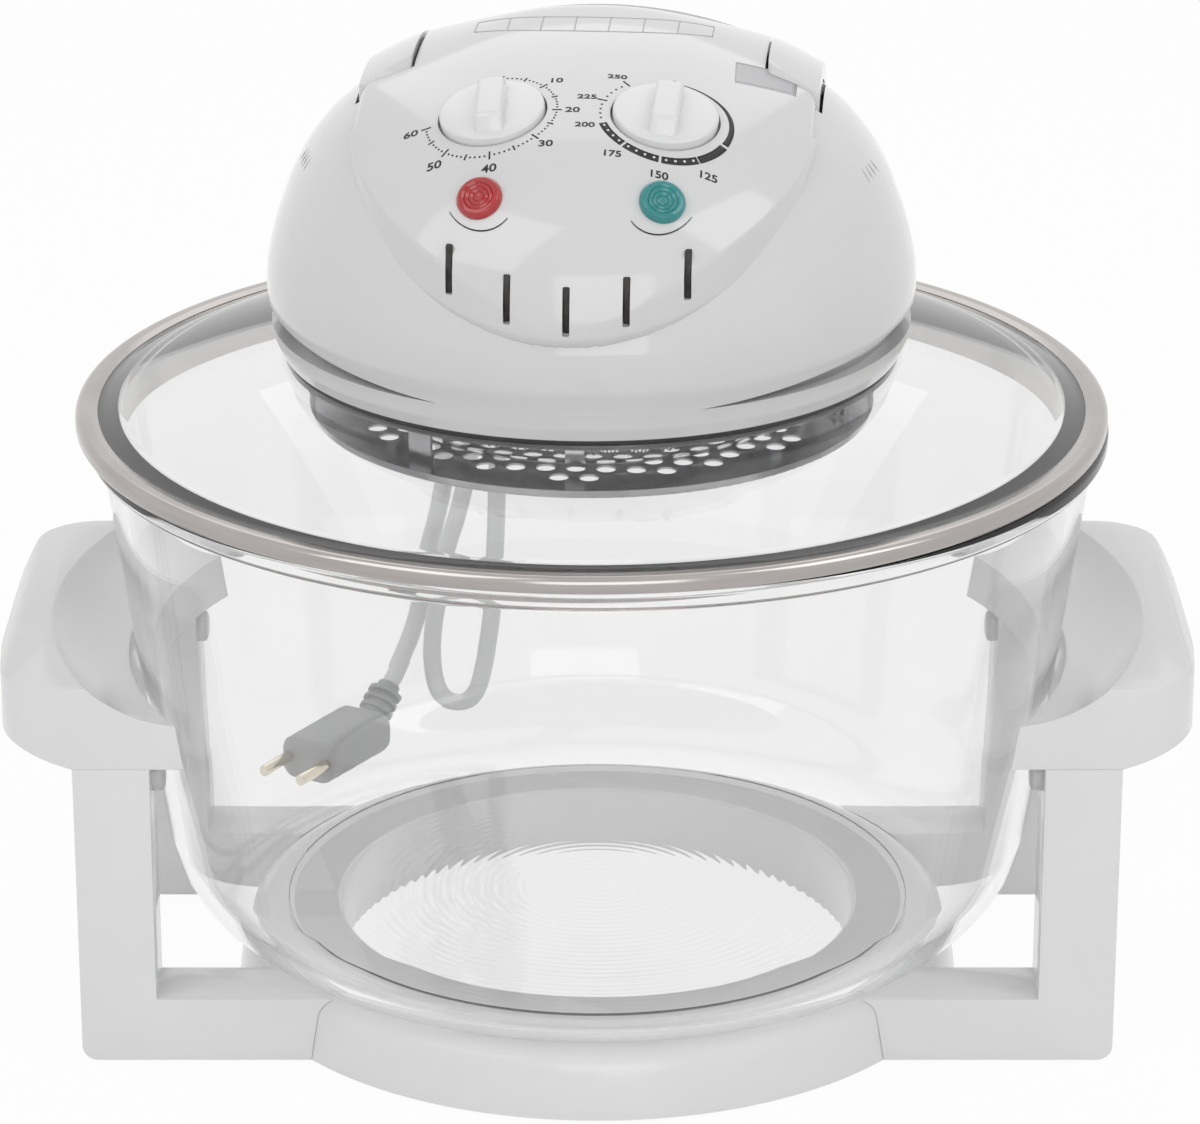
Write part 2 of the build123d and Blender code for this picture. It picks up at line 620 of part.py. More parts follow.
grip_cut_z = COLLAR_TOP_Z + GRIP_CUT_RISE - GRIP_CUT_R
grip_cut = Pos(0, 0, grip_cut_z) * Rot(0, 90, 0) * Cylinder(GRIP_CUT_R, 4 * BAND_R)
panel_hatch = extrude(Pos(0, 0, COLLAR_TOP_Z + SPIGOT_HEIGHT) * panel_plan(PANEL_LEDGE), CROWN_TOP_Z)
upper_housing = dome_solid - dome(SHELL) - grip_cut - panel_hatch
for cut in notches + slots:
    upper_housing -= cut
gland_hole = Pos(0, COLLAR_TOP_R, GLAND_Z) * Rot(-90, 0, 0) * Cylinder(GLAND_R, 4 * SHELL)
upper_housing -= gland_hole
save("upper_housing", LID_POSE * upper_housing)

hinge_plates = []
for side in (-1, 1):
    plate = block(*span(side, notch_x - EAR_T, notch_x), PIVOT_Y - notch_r, PANEL_REAR_Y - SHELL,
                  PIVOT_Z - notch_r, CROWN_TOP_Z)
    plate = (plate & panel_void) - upper_housing
    hinge_plates.append(plate - cross_bar(PIN_R + RUNNING_FIT, -pivot_span, pivot_span, PIVOT_Y, PIVOT_Z))
save("hinge_plates", *[LID_POSE * plate for plate in hinge_plates])

# ---- carry handle -----------------------------------------------------------------------------
grip_plan = make_face(FilletPolyline(
    (ARM_OUTER_X, PIVOT_Y), (ARM_OUTER_X, GRIP_REAR_Y),
    (-ARM_OUTER_X, GRIP_REAR_Y), (-ARM_OUTER_X, PIVOT_Y),
    (-ARM_INNER_X, PIVOT_Y), (-ARM_INNER_X, GRIP_FRONT_Y),
    (ARM_INNER_X, GRIP_FRONT_Y), (ARM_INNER_X, PIVOT_Y),
    radius=[0, GRIP_CORNER, GRIP_CORNER, 0, 0, SCREW_R, SCREW_R, 0], close=True))
carry_handle = extrude(Pos(0, 0, SLOT_LOW_Z) * grip_plan, CROWN_TOP_Z - SLOT_LOW_Z) - dome(-SWING_GAP)
carry_handle -= cross_bar(SCOOP_R, -SCOOP_X, SCOOP_X, GRIP_REAR_Y, SCOOP_Z)
for side in (-1, 1):
    knuckle = cross_bar(KNUCKLE_R, *span(side, ARM_INNER_X, ARM_OUTER_X), PIVOT_Y, PIVOT_Z)
    carry_handle += fillet(knuckle.edges().filter_by(GeomType.CIRCLE), ARM_EDGE / 2)
carry_handle &= Pos(0, PIVOT_Y, GRIP_TOP_Z - GRIP_CROWN_R) * Sphere(GRIP_CROWN_R)
carry_handle -= cross_bar(PIN_R, -ARM_OUTER_X + SHELL, ARM_OUTER_X - SHELL, PIVOT_Y, PIVOT_Z)
save("carry_handle", LID_POSE * carry_handle)
handle_pins = [
    cross_bar(PIN_R, *span(side, notch_x - 2 * EAR_T, ARM_OUTER_X - SHELL), PIVOT_Y, PIVOT_Z)
    for side in (-1, 1)
]
save("handle_pins", *[LID_POSE * pin for pin in handle_pins])

# ---- knobs, shafts and their units ------------------------------------------------------------
knob = revolve(
    Plane.XZ * make_face(
        Polyline((0, KNOB_RISE), (0, SEAM - WELL_DEPTH), (KNOB_R, SEAM - WELL_DEPTH),
                 (KNOB_R, 2 - WELL_DEPTH))
        + ThreePointArc((KNOB_R, 2 - WELL_DEPTH), (KNOB_R * 0.6, -KNOB_RISE), (0, KNOB_RISE))
    ), Axis.Z)
bar_profile = make_face(
    Polyline((-KNOB_R, 1 - WELL_DEPTH), (KNOB_R, 1 - WELL_DEPTH), (KNOB_R, 2 - WELL_DEPTH))
    + FilletPolyline((KNOB_R, 2 - WELL_DEPTH), (KNOB_R * 0.62, BAR_RISE), (-KNOB_R * 0.62, BAR_RISE),
                     (-KNOB_R, 2 - WELL_DEPTH), radius=5)
    + Line((-KNOB_R, 2 - WELL_DEPTH), (-KNOB_R, 1 - WELL_DEPTH))
)
grip_bar = extrude(Plane.YZ * bar_profile, BAR_WIDTH / 2, both=True) & disc(KNOB_R, -WELL_DEPTH, BAR_RISE)
knob += grip_bar
knob += disc(BUSH_R, -WELL_DEPTH - SHELL, SEAM - WELL_DEPTH)
knob -= disc(SHAFT_R, -2 * WELL_DEPTH, -1)
unit_top = -WELL_DEPTH - SHELL - UNIT_GAP
shaft = disc(SHAFT_R, unit_top - UNIT_DEPTH / 2, -1)
unit = Pos(0, 0, unit_top - UNIT_DEPTH) * Box(
    UNIT_SIZE, UNIT_SIZE, UNIT_DEPTH, align=(Align.CENTER, Align.CENTER, Align.MIN))
unit = fillet(unit.edges().filter_by(Axis.Z), 2)
unit += disc(BUSH_R, unit_top, unit_top + UNIT_GAP)
unit -= disc(SHAFT_R + RUNNING_FIT, unit_top - UNIT_DEPTH / 2 - SEAM, 0)
for side, role in ((-1, "timer"), (1, "thermostat")):
    place = LID_POSE * knob_plane(side).location
    save(role + "_knob", place * knob)
    save(role + "_shaft", place * shaft)
    save(role + "_unit", place * unit)

lens = disc(LAMP_R, 0, LAMP_RISE)
lens = fillet(lens.edges().sort_by(Axis.Z)[-1], LAMP_RISE * 0.8)
lens += disc(LAMP_STEM_R, -2 * SHELL, 0)
lens -= disc(NEON_R + SEAM, -2 * SHELL - 1, -SHELL / 2)
neon = disc(NEON_R, -NEON_LENGTH - SHELL / 2, -SHELL / 2 - SEAM)
neon = fillet(neon.edges().sort_by(Axis.Z)[-1], NEON_R * 0.8)
neon_lamps = []
for side, role in ((-1, "power"), (1, "heat")):
    place = LID_POSE * lamp_plane(side).location
    save(role + "_lamp_lens", place * lens)
    neon_lamps.append(place * neon)
save("neon_lamps", *neon_lamps)

# ---- motor, shaft and fans --------------------------------------------------------------------
plate_z = HEAD_Z + MOTOR_LIFT
motor_z = plate_z + PLATE_T
bracket_reach = MOTOR_R + 4 * STANDOFF_R
motor_bracket = block(-bracket_reach, bracket_reach, -MOTOR_R * 0.6, MOTOR_R * 0.6, plate_z, motor_z)
motor_bracket -= disc(shaft_hole_r, plate_z - 1, motor_z + 1)
standoffs = []
motor_screws = []
for side in (-1, 1):
    spot = Pos(side * (bracket_reach - STANDOFF_R), 0, 0)
    motor_bracket -= spot * disc(SCREW_R + SEAM, plate_z - 1, motor_z + 1)
    standoffs.append(spot * tube(STANDOFF_R, SCREW_R, floor_top_z, plate_z))
    motor_screws.append(spot * Pos(0, 0, motor_z) * screw(PLATE_T + SCREW_GRIP / 2))
save("motor_bracket", LID_POSE * motor_bracket)
for post in standoffs:
    head_collar += post
motor = disc(MOTOR_R, motor_z, motor_z + MOTOR_HEIGHT)
motor = fillet(motor.edges().filter_by(GeomType.CIRCLE), 2)
motor -= disc(MOTOR_SHAFT_R + RUNNING_FIT, motor_z - 1, motor_z + MOTOR_HEIGHT + 1)
save("fan_motor", LID_POSE * motor)
save("motor_screws", *[LID_POSE * item for item in motor_screws])

fan_low_z = TUBE_Z - FAN_HEIGHT / 2
cooling_z = motor_z + MOTOR_HEIGHT + UNIT_GAP
fan_shaft = disc(MOTOR_SHAFT_R, fan_low_z - UNIT_GAP, cooling_z + FAN_HEIGHT + UNIT_GAP)
save("fan_shaft", LID_POSE * fan_shaft)


def fan(radius, low_z):
    """Hub with upright radial blades on a thin back disc."""
    body = disc(HUB_R, low_z, low_z + FAN_HEIGHT)
    body += disc(radius, low_z + FAN_HEIGHT - BLADE_T, low_z + FAN_HEIGHT)
    for index in range(FAN_BLADES):
        blade = block(HUB_R - 1, radius, -BLADE_T / 2, BLADE_T / 2, low_z, low_z + FAN_HEIGHT)
        body += Rot(0, 0, index * 360 / FAN_BLADES) * blade
    return body - disc(MOTOR_SHAFT_R, low_z - 1, low_z + FAN_HEIGHT + 1)


save("convection_fan", LID_POSE * fan(FAN_R, fan_low_z))
save("cooling_fan", LID_POSE * fan(COOLING_FAN_R, cooling_z))
fan_nut = disc(HUB_R / 2 + 1, fan_low_z - UNIT_GAP, fan_low_z)
fan_nut -= disc(MOTOR_SHAFT_R, fan_low_z - 9, fan_low_z + 1)
save("fan_nut", LID_POSE * fan_nut)

# ---- heater under the lid ---------------------------------------------------------------------
clamp_low_z = CLAMP_Z - PLATE_T
clamp_screw_r = (GLASS_HOLE_R + CLAMP_INNER_R) / 2
clamp_ring = tube(CLAMP_R, CLAMP_INNER_R, clamp_low_z, CLAMP_Z)
clamp_bosses = []
clamp_screws = []
for index in range(4):
    spot = Rot(0, 0, CLAMP_TURN + 90 * index) * Pos(clamp_screw_r, 0, 0)
    clamp_ring -= spot * disc(SCREW_R + SEAM, clamp_low_z - 1, CLAMP_Z + 1)
    clamp_bosses.append(spot * tube(STANDOFF_R, SCREW_R, CLAMP_Z + SEAM, HEAD_Z))
    clamp_screws.append(spot * Pos(0, 0, clamp_low_z) * Rot(180, 0, 0) * screw(GLASS_T + PLATE_T))
for boss in clamp_bosses:
    head_collar += boss
save("head_collar", LID_POSE * head_collar)
save("clamp_ring", LID_POSE * clamp_ring)
save("clamp_screws", *[LID_POSE * item for item in clamp_screws])

shield_low_z = clamp_low_z - SHIELD_DEPTH
flange_r = clamp_screw_r - SCREW_HEAD_R - SEAM
heat_shield = lathe(
    (shaft_hole_r, shield_low_z), (SHIELD_R - 3, shield_low_z, 3), (SHIELD_R, clamp_low_z - SHEET, 2),
    (flange_r, clamp_low_z - SHEET), (flange_r, clamp_low_z), (SHIELD_R - SHEET, clamp_low_z, 1),
    (SHIELD_R - 3 - SHEET, shield_low_z + SHEET, 2), (shaft_hole_r, shield_low_z + SHEET),
)
save("heat_shield", LID_POSE * heat_shield)
insulation_pad = tube(SHIELD_R - 6, HUB_R + 4, shield_low_z + SHEET, HEAD_Z - SEAM)
save("insulation_pad", LID_POSE * insulation_pad)

half_gap = TUBE_GAP_ANGLE / 2
ring_path = Pos(0, 0, TUBE_Z) * CenterArc((0, 0), TUBE_RING_R, 90 + half_gap, 360 - TUBE_GAP_ANGLE)
ring_end = Plane(ring_path @ 0, z_dir=ring_path % 0)
halogen_tube = sweep(ring_end * Circle(TUBE_R), ring_path)
halogen_tube -= sweep(ring_end * Circle(TUBE_BORE_R), ring_path)
save("halogen_tube", LID_POSE * halogen_tube)
save("lamp_filament", LID_POSE * sweep(ring_end * Circle(FILAMENT_R), ring_path))
end_caps = []
for end in (-1, 1):
    angle = 90 + end * half_gap
    spot = Rot(0, 0, angle) * Pos(TUBE_RING_R, 0, TUBE_Z)
    cap = spot * Rot(end * 90, 0, 0) * disc(TUBE_R + 1, 0, 8)
    cap += spot * block(-4, 4, *sorted((-end * 2, -end * 8)), 0, shield_low_z - TUBE_Z)
    end_caps.append(cap)
save("tube_end_caps", *[LID_POSE * item for item in end_caps])
clips = []
for index in range(3):
    spot = Rot(0, 0, 210 + index * 60) * Pos(TUBE_RING_R, 0, TUBE_Z)
    clip = spot * Rot(90, 0, 0) * (disc(TUBE_R + 0.3 + SHEET, -3, 3) - disc(TUBE_R + 0.3, -4, 4))
    clip -= spot * block(-TUBE_R * 0.7, TUBE_R * 0.7, -5, 5, -2 * TUBE_R, 0)
    clip += spot * block(-3, 3, -3, 3, TUBE_R + 0.3 + SHEET / 2, shield_low_z - TUBE_Z)
    clips.append(clip)
save("tube_clips", *[LID_POSE * item for item in clips])

# ---- guard ------------------------------------------------------------------------------------
guard = lathe(
    (0, GUARD_Z), (GUARD_R - 1, GUARD_Z, 1), (GUARD_R, GUARD_Z + GUARD_LIP),
    (GUARD_R - GUARD_T, GUARD_Z + GUARD_LIP),
    (GUARD_R - GUARD_T - 1, GUARD_Z + GUARD_T, 0.4), (0, GUARD_Z + GUARD_T),
)
holes = []
rows = int(GUARD_R / GUARD_HOLE_PITCH)
for row in range(-rows, rows + 1):
    y = row * GUARD_HOLE_PITCH * sin(radians(60))
    for column in range(-rows, rows + 1):
        x = (column + 0.5 * (row % 2)) * GUARD_HOLE_PITCH
        radius = sqrt(x**2 + y**2)
        if radius < GUARD_R - 2 * GUARD_HOLE_R and abs(radius - STRAP_R) > GUARD_HOLE_R + SCREW_HEAD_R:
            holes.append(Pos(x, y, 0) * disc(GUARD_HOLE_R, GUARD_Z - 1, GUARD_Z + 2))
guard -= holes
save("heater_guard", LID_POSE * guard)
straps = []
strap_screws = []
for index in range(STRAP_COUNT):
    turn = Rot(0, 0, STRAP_TURN + index * 360 / STRAP_COUNT)
    low = GUARD_Z + GUARD_T
    strap = block(STRAP_R + 2, STRAP_R + 3, -STRAP_WIDTH / 2, STRAP_WIDTH / 2, low, clamp_low_z)
    strap += block(STRAP_R - 4, STRAP_R + 3, -STRAP_WIDTH / 2, STRAP_WIDTH / 2, low, low + SHEET)
    strap += block(STRAP_R + 2, STRAP_R + 9, -STRAP_WIDTH / 2, STRAP_WIDTH / 2,
                   clamp_low_z - SHEET, clamp_low_z)
    straps.append(turn * strap)
    strap_screws.append(turn * Pos(STRAP_R - 1, 0, low + SHEET) * disc(SCREW_R, 0, SCREW_HEAD_H))
save("guard_straps", *[LID_POSE * item for item in straps])
save("guard_screws", *[LID_POSE * item for item in strap_screws])

# ---- switch, terminals and inner leads --------------------------------------------------------
switch_x = notch_x - EAR_T
depth_x, depth_y, depth_z = SWITCH_SIZE
safety_switch = block(-switch_x, -switch_x + depth_x, PIVOT_Y - depth_y / 2, PIVOT_Y + depth_y / 2,
                      SWITCH_Z, SWITCH_Z + depth_z)
save("safety_switch", LID_POSE * safety_switch)

wide, deep, tall = TERMINAL_SIZE
terminal_block = Pos(TERMINAL_X, TERMINAL_Y, floor_top_z) * Box(
    wide, deep, tall, align=(Align.CENTER, Align.CENTER, Align.MIN))
for index in (-1, 0, 1):
    terminal_block -= Pos(TERMINAL_X + index * wide / 3, TERMINAL_Y, 0) * disc(
        SCREW_R, floor_top_z + tall / 2, floor_top_z + tall + 1)
save("terminal_block", LID_POSE * terminal_block)


def lead(radius, *points):
    """Round lead along straight runs joined by arcs, each as wide as its shorter run allows."""
    corners = [Vector(*point) for point in points]
    radii = []
    for before, at, after in zip(corners, corners[1:], corners[2:]):
        turn = radians((at - before).get_angle(after - at))
        run = min((at - before).length, (after - at).length)
        radii.append(0.45 * run / tan(turn / 2))
    route = FilletPolyline(*corners, radius=radii)
    print("   lead", round(route.length, 1), [round(value, 1) for value in radii])
    return sweep(Plane(route @ 0, z_dir=route % 0) * Circle(radius), route)


terminal_top_z = floor_top_z + tall
unit_ends = [
    (knob_plane(side) * Pos(0, 0, unit_top - UNIT_DEPTH)).position
    for side in (-1, 1)
]
inner_leads = (
    lead(LEAD_R, (TERMINAL_X + 5, TERMINAL_Y, terminal_top_z), (TERMINAL_X + 5, TERMINAL_Y, HEAD_Z + 35.5),
         (TERMINAL_X + 4, 8, HEAD_Z + 41.5), (TERMINAL_X, -28, HEAD_Z + 42.5), (30, -48, HEAD_Z + 45.5),
         tuple(unit_ends[1])),
    lead(LEAD_R, (TERMINAL_X - 5, TERMINAL_Y, terminal_top_z), (TERMINAL_X - 5, TERMINAL_Y, HEAD_Z + 33.5),
         (4, 56, HEAD_Z + 41.5), (-36, 38, HEAD_Z + 43.5), (-50, -2, HEAD_Z + 43.5),
         (-44, -34, HEAD_Z + 42.5), (-30, -48, HEAD_Z + 45.5), tuple(unit_ends[0])),
)
unit_places = [knob_plane(side).location for side in (1, -1)]
save("inner_leads", *[LID_POSE * (item - place * unit) for item, place in zip(inner_leads, unit_places)])

# ---- mains lead, rear left, hanging with its hank ---------------------------------------------
gland_end_y = GLAND_FACE_Y + GLAND_REACH
gland_start_y = SPIGOT_R + SHELL
cord_gland = Pos(0, 0, GLAND_Z) * Rot(-90, 0, 0) * lathe(
    (0, gland_start_y - 2), (GLAND_FLANGE_R, gland_start_y - 2), (GLAND_FLANGE_R, gland_start_y),
    (GLAND_R, gland_start_y), (GLAND_R, GLAND_FACE_Y + SHELL), (GLAND_TIP_R, gland_end_y), (0, gland_end_y))
save("cord_gland", LID_POSE * cord_gland)

lead_start = (LID_POSE * Pos(0, gland_end_y, GLAND_Z)).position
lead_out = (LID_POSE * Pos(0, gland_end_y + GLAND_RUN, GLAND_Z)).position
hank_x, hank_y, hank_low_z = HANK
hank_top_z = hank_low_z + HANK_SIZE[2]
hank = Pos(*HANK) * Box(*HANK_SIZE, align=(Align.CENTER, Align.CENTER, Align.MIN))
hank = fillet(hank.edges().filter_by(Axis.Z), HANK_ROUND)
cord_hank = fillet(hank.edges(), HANK_ROUND / 2)
save("cord_hank", cord_hank)
tie_z = hank_low_z + HANK_SIZE[2] / 2
hank_tie = offset(hank, TIE_T) & block(hank_x - 99, hank_x + 99, hank_y - 99, hank_y + 99,
                                       tie_z - TIE_WIDTH / 2, tie_z + TIE_WIDTH / 2)
save("hank_tie", hank_tie - hank)

mains_lead = lead(CORD_R, tuple(lead_start), tuple(lead_out), (5, 158, 242), (-8, 176, 231), (-24, 188, 217),
                  (-38, 192.5, hank_top_z - 3))
save("mains_lead", mains_lead - cord_hank)
lead_loop = lead(
    CORD_R, (-38.2, 192, hank_low_z + 3), (-38.6, 192, 76), (-40, 192, 52), (-43.5, 192, 30),
    (-47.5, 192, 16.5),
    (-59, 192.3, 16.5), (-63.5, 192.6, 31), (-62.5, 193, 50), (-58.5, 193.5, 67), (-53, 194, 83),
    (-49, 194.5, hank_low_z + 3))
save("lead_loop", lead_loop - cord_hank)

plug_z = PLUG_HEIGHT / 2
plug_place = Pos(*PLUG_REAR, plug_z) * Rot(0, 0, PLUG_TURN)
plug_body = block(0, PLUG_LENGTH, -PLUG_WIDTH / 2, PLUG_WIDTH / 2, -plug_z, plug_z)
plug_body = fillet(plug_body.edges().filter_by(Axis.X), plug_z * 0.7)
plug_body = fillet(plug_body.edges().group_by(Axis.X)[0], 4)
save("plug_body", plug_place * plug_body)
pins = [
    Pos(PLUG_LENGTH, side * PLUG_PIN_PITCH / 2, 0) * Rot(0, 90, 0) * disc(PLUG_PIN_R, 0, PLUG_PIN_LENGTH)
    for side in (-1, 1)
]
save("plug_pins", *[plug_place * pin for pin in pins])
relief_place = plug_place * Rot(0, RELIEF_PITCH - 90, 0)
relief = relief_place * Pos(0, 0, -4) * Cone(
    RELIEF_R, CORD_R + 1, RELIEF_LENGTH + 4, align=(Align.CENTER, Align.CENTER, Align.MIN))
for index in range(RELIEF_RIBS):
    relief += relief_place * disc(RELIEF_R, 3 + 4 * index, 4.6 + 4 * index)
save("plug_strain_relief", relief - plug_place * plug_body)
plug_start = (relief_place * Pos(0, 0, RELIEF_LENGTH)).position
plug_above = (relief_place * Pos(0, 0, RELIEF_LENGTH + 22)).position
plug_lead = lead(CORD_R, (-58, 198, hank_low_z + 3), (-61, 204, 80), (-66.5, 211, 58.5),
                 tuple(plug_above), tuple(plug_start))
save("plug_lead", plug_lead - cord_hank)
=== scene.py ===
"""Looks of a halogen oven: glass bowl on a white stand, glass lid, domed heater head."""
import logging
import math
from contextlib import contextmanager
from dataclasses import dataclass
from enum import Enum
from typing import Callable, Iterator, Sequence

import bpy
from mathutils import Matrix, Vector, kdtree


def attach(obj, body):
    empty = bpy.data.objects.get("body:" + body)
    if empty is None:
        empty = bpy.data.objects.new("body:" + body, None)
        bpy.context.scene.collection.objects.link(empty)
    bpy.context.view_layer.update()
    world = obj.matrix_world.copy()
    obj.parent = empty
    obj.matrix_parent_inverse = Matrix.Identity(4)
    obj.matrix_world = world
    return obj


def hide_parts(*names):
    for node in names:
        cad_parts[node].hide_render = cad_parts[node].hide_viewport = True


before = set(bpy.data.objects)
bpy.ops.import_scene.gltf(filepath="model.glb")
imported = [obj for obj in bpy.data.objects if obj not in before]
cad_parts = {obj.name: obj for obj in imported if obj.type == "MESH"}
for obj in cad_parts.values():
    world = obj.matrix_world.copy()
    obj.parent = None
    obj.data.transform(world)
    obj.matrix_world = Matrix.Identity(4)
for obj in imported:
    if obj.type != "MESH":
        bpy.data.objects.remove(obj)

LOG = logging.getLogger("oven")
MM = 0.001
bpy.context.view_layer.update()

Point2 = tuple[float, float]
Point3 = tuple[float, float, float]

# The lid and its head stand turned on the bowl and pushed to the left.
LID_TURN = math.radians(-4.2)
LID_SHIFT = -1.9
LID_POSE = Matrix.Translation((LID_SHIFT * MM, 0, 0)) @ Matrix.Rotation(LID_TURN, 4, "Z")


# ---- finishes ---------------------------------------------------------------------------------
@dataclass(frozen=True)
class Finish:
    """A surface finish, with its colour, sheen and fine texture."""

    name: str
    color: Point3
    roughness: float = 0.35
    metallic: float = 0.0
    coat: float = 0.0
    transmission: float = 0.0
    ior: float = 1.46
    mottle: float = 0.03
    mottle_scale: float = 30.0
    rough_spread: float = 0.06
    grain: float = 0.02
    grain_scale: float = 900.0
    stretch: Point3 = (1.0, 1.0, 1.0)

    def material(self) -> bpy.types.Material:
        """Make the finish's node material, or give the one already made.

        Returns:
            The material.
        """
        made = bpy.data.materials.get(self.name)
        if made is not None:
            return made
        made = bpy.data.materials.new(self.name)
        made.use_nodes = True
        nodes, links = made.node_tree.nodes, made.node_tree.links
        shader = nodes["Principled BSDF"]
        place = nodes.new("ShaderNodeTexCoord")
        turn = nodes.new("ShaderNodeMapping")
        turn.inputs["Scale"].default_value = self.stretch
        links.new(place.outputs["Object"], turn.inputs["Vector"])
        broad = self._noise(nodes, links, turn, self.mottle_scale, 3.0)
        ramp = nodes.new("ShaderNodeValToRGB")
        ramp.color_ramp.elements[0].position = 0.3
        ramp.color_ramp.elements[1].position = 0.7
        for element, share in zip(ramp.color_ramp.elements, (1 - self.mottle, 1 + self.mottle)):
            element.color = (*(min(1.0, part * share) for part in self.color), 1.0)
        links.new(broad.outputs["Fac"], ramp.inputs["Fac"])
        links.new(ramp.outputs["Color"], shader.inputs["Base Color"])
        level = nodes.new("ShaderNodeMapRange")
        level.inputs["To Min"].default_value = max(0.0, self.roughness - self.rough_spread)
        level.inputs["To Max"].default_value = min(1.0, self.roughness + self.rough_spread)
        links.new(broad.outputs["Fac"], level.inputs["Value"])
        links.new(level.outputs["Result"], shader.inputs["Roughness"])
        if self.grain:
            fine = self._noise(nodes, links, turn, self.grain_scale, 2.0)
            bump = nodes.new("ShaderNodeBump")
            bump.inputs["Strength"].default_value = self.grain
            bump.inputs["Distance"].default_value = 0.3 * MM
            links.new(fine.outputs["Fac"], bump.inputs["Height"])
            links.new(bump.outputs["Normal"], shader.inputs["Normal"])
        shader.inputs["Metallic"].default_value = self.metallic
        shader.inputs["IOR"].default_value = self.ior
        shader.inputs["Coat Weight"].default_value = self.coat
        shader.inputs["Coat Roughness"].default_value = 0.04
        shader.inputs["Transmission Weight"].default_value = self.transmission
        return made

    @staticmethod
    def _noise(nodes: bpy.types.Nodes, links: bpy.types.NodeLinks, turn: bpy.types.Node,
               scale: float, detail: float) -> bpy.types.Node:
        """Add a noise texture on the piece's own coordinates."""
        noise = nodes.new("ShaderNodeTexNoise")
        noise.inputs["Scale"].default_value = scale
        noise.inputs["Detail"].default_value = detail
        links.new(turn.outputs["Vector"], noise.inputs["Vector"])
        return noise


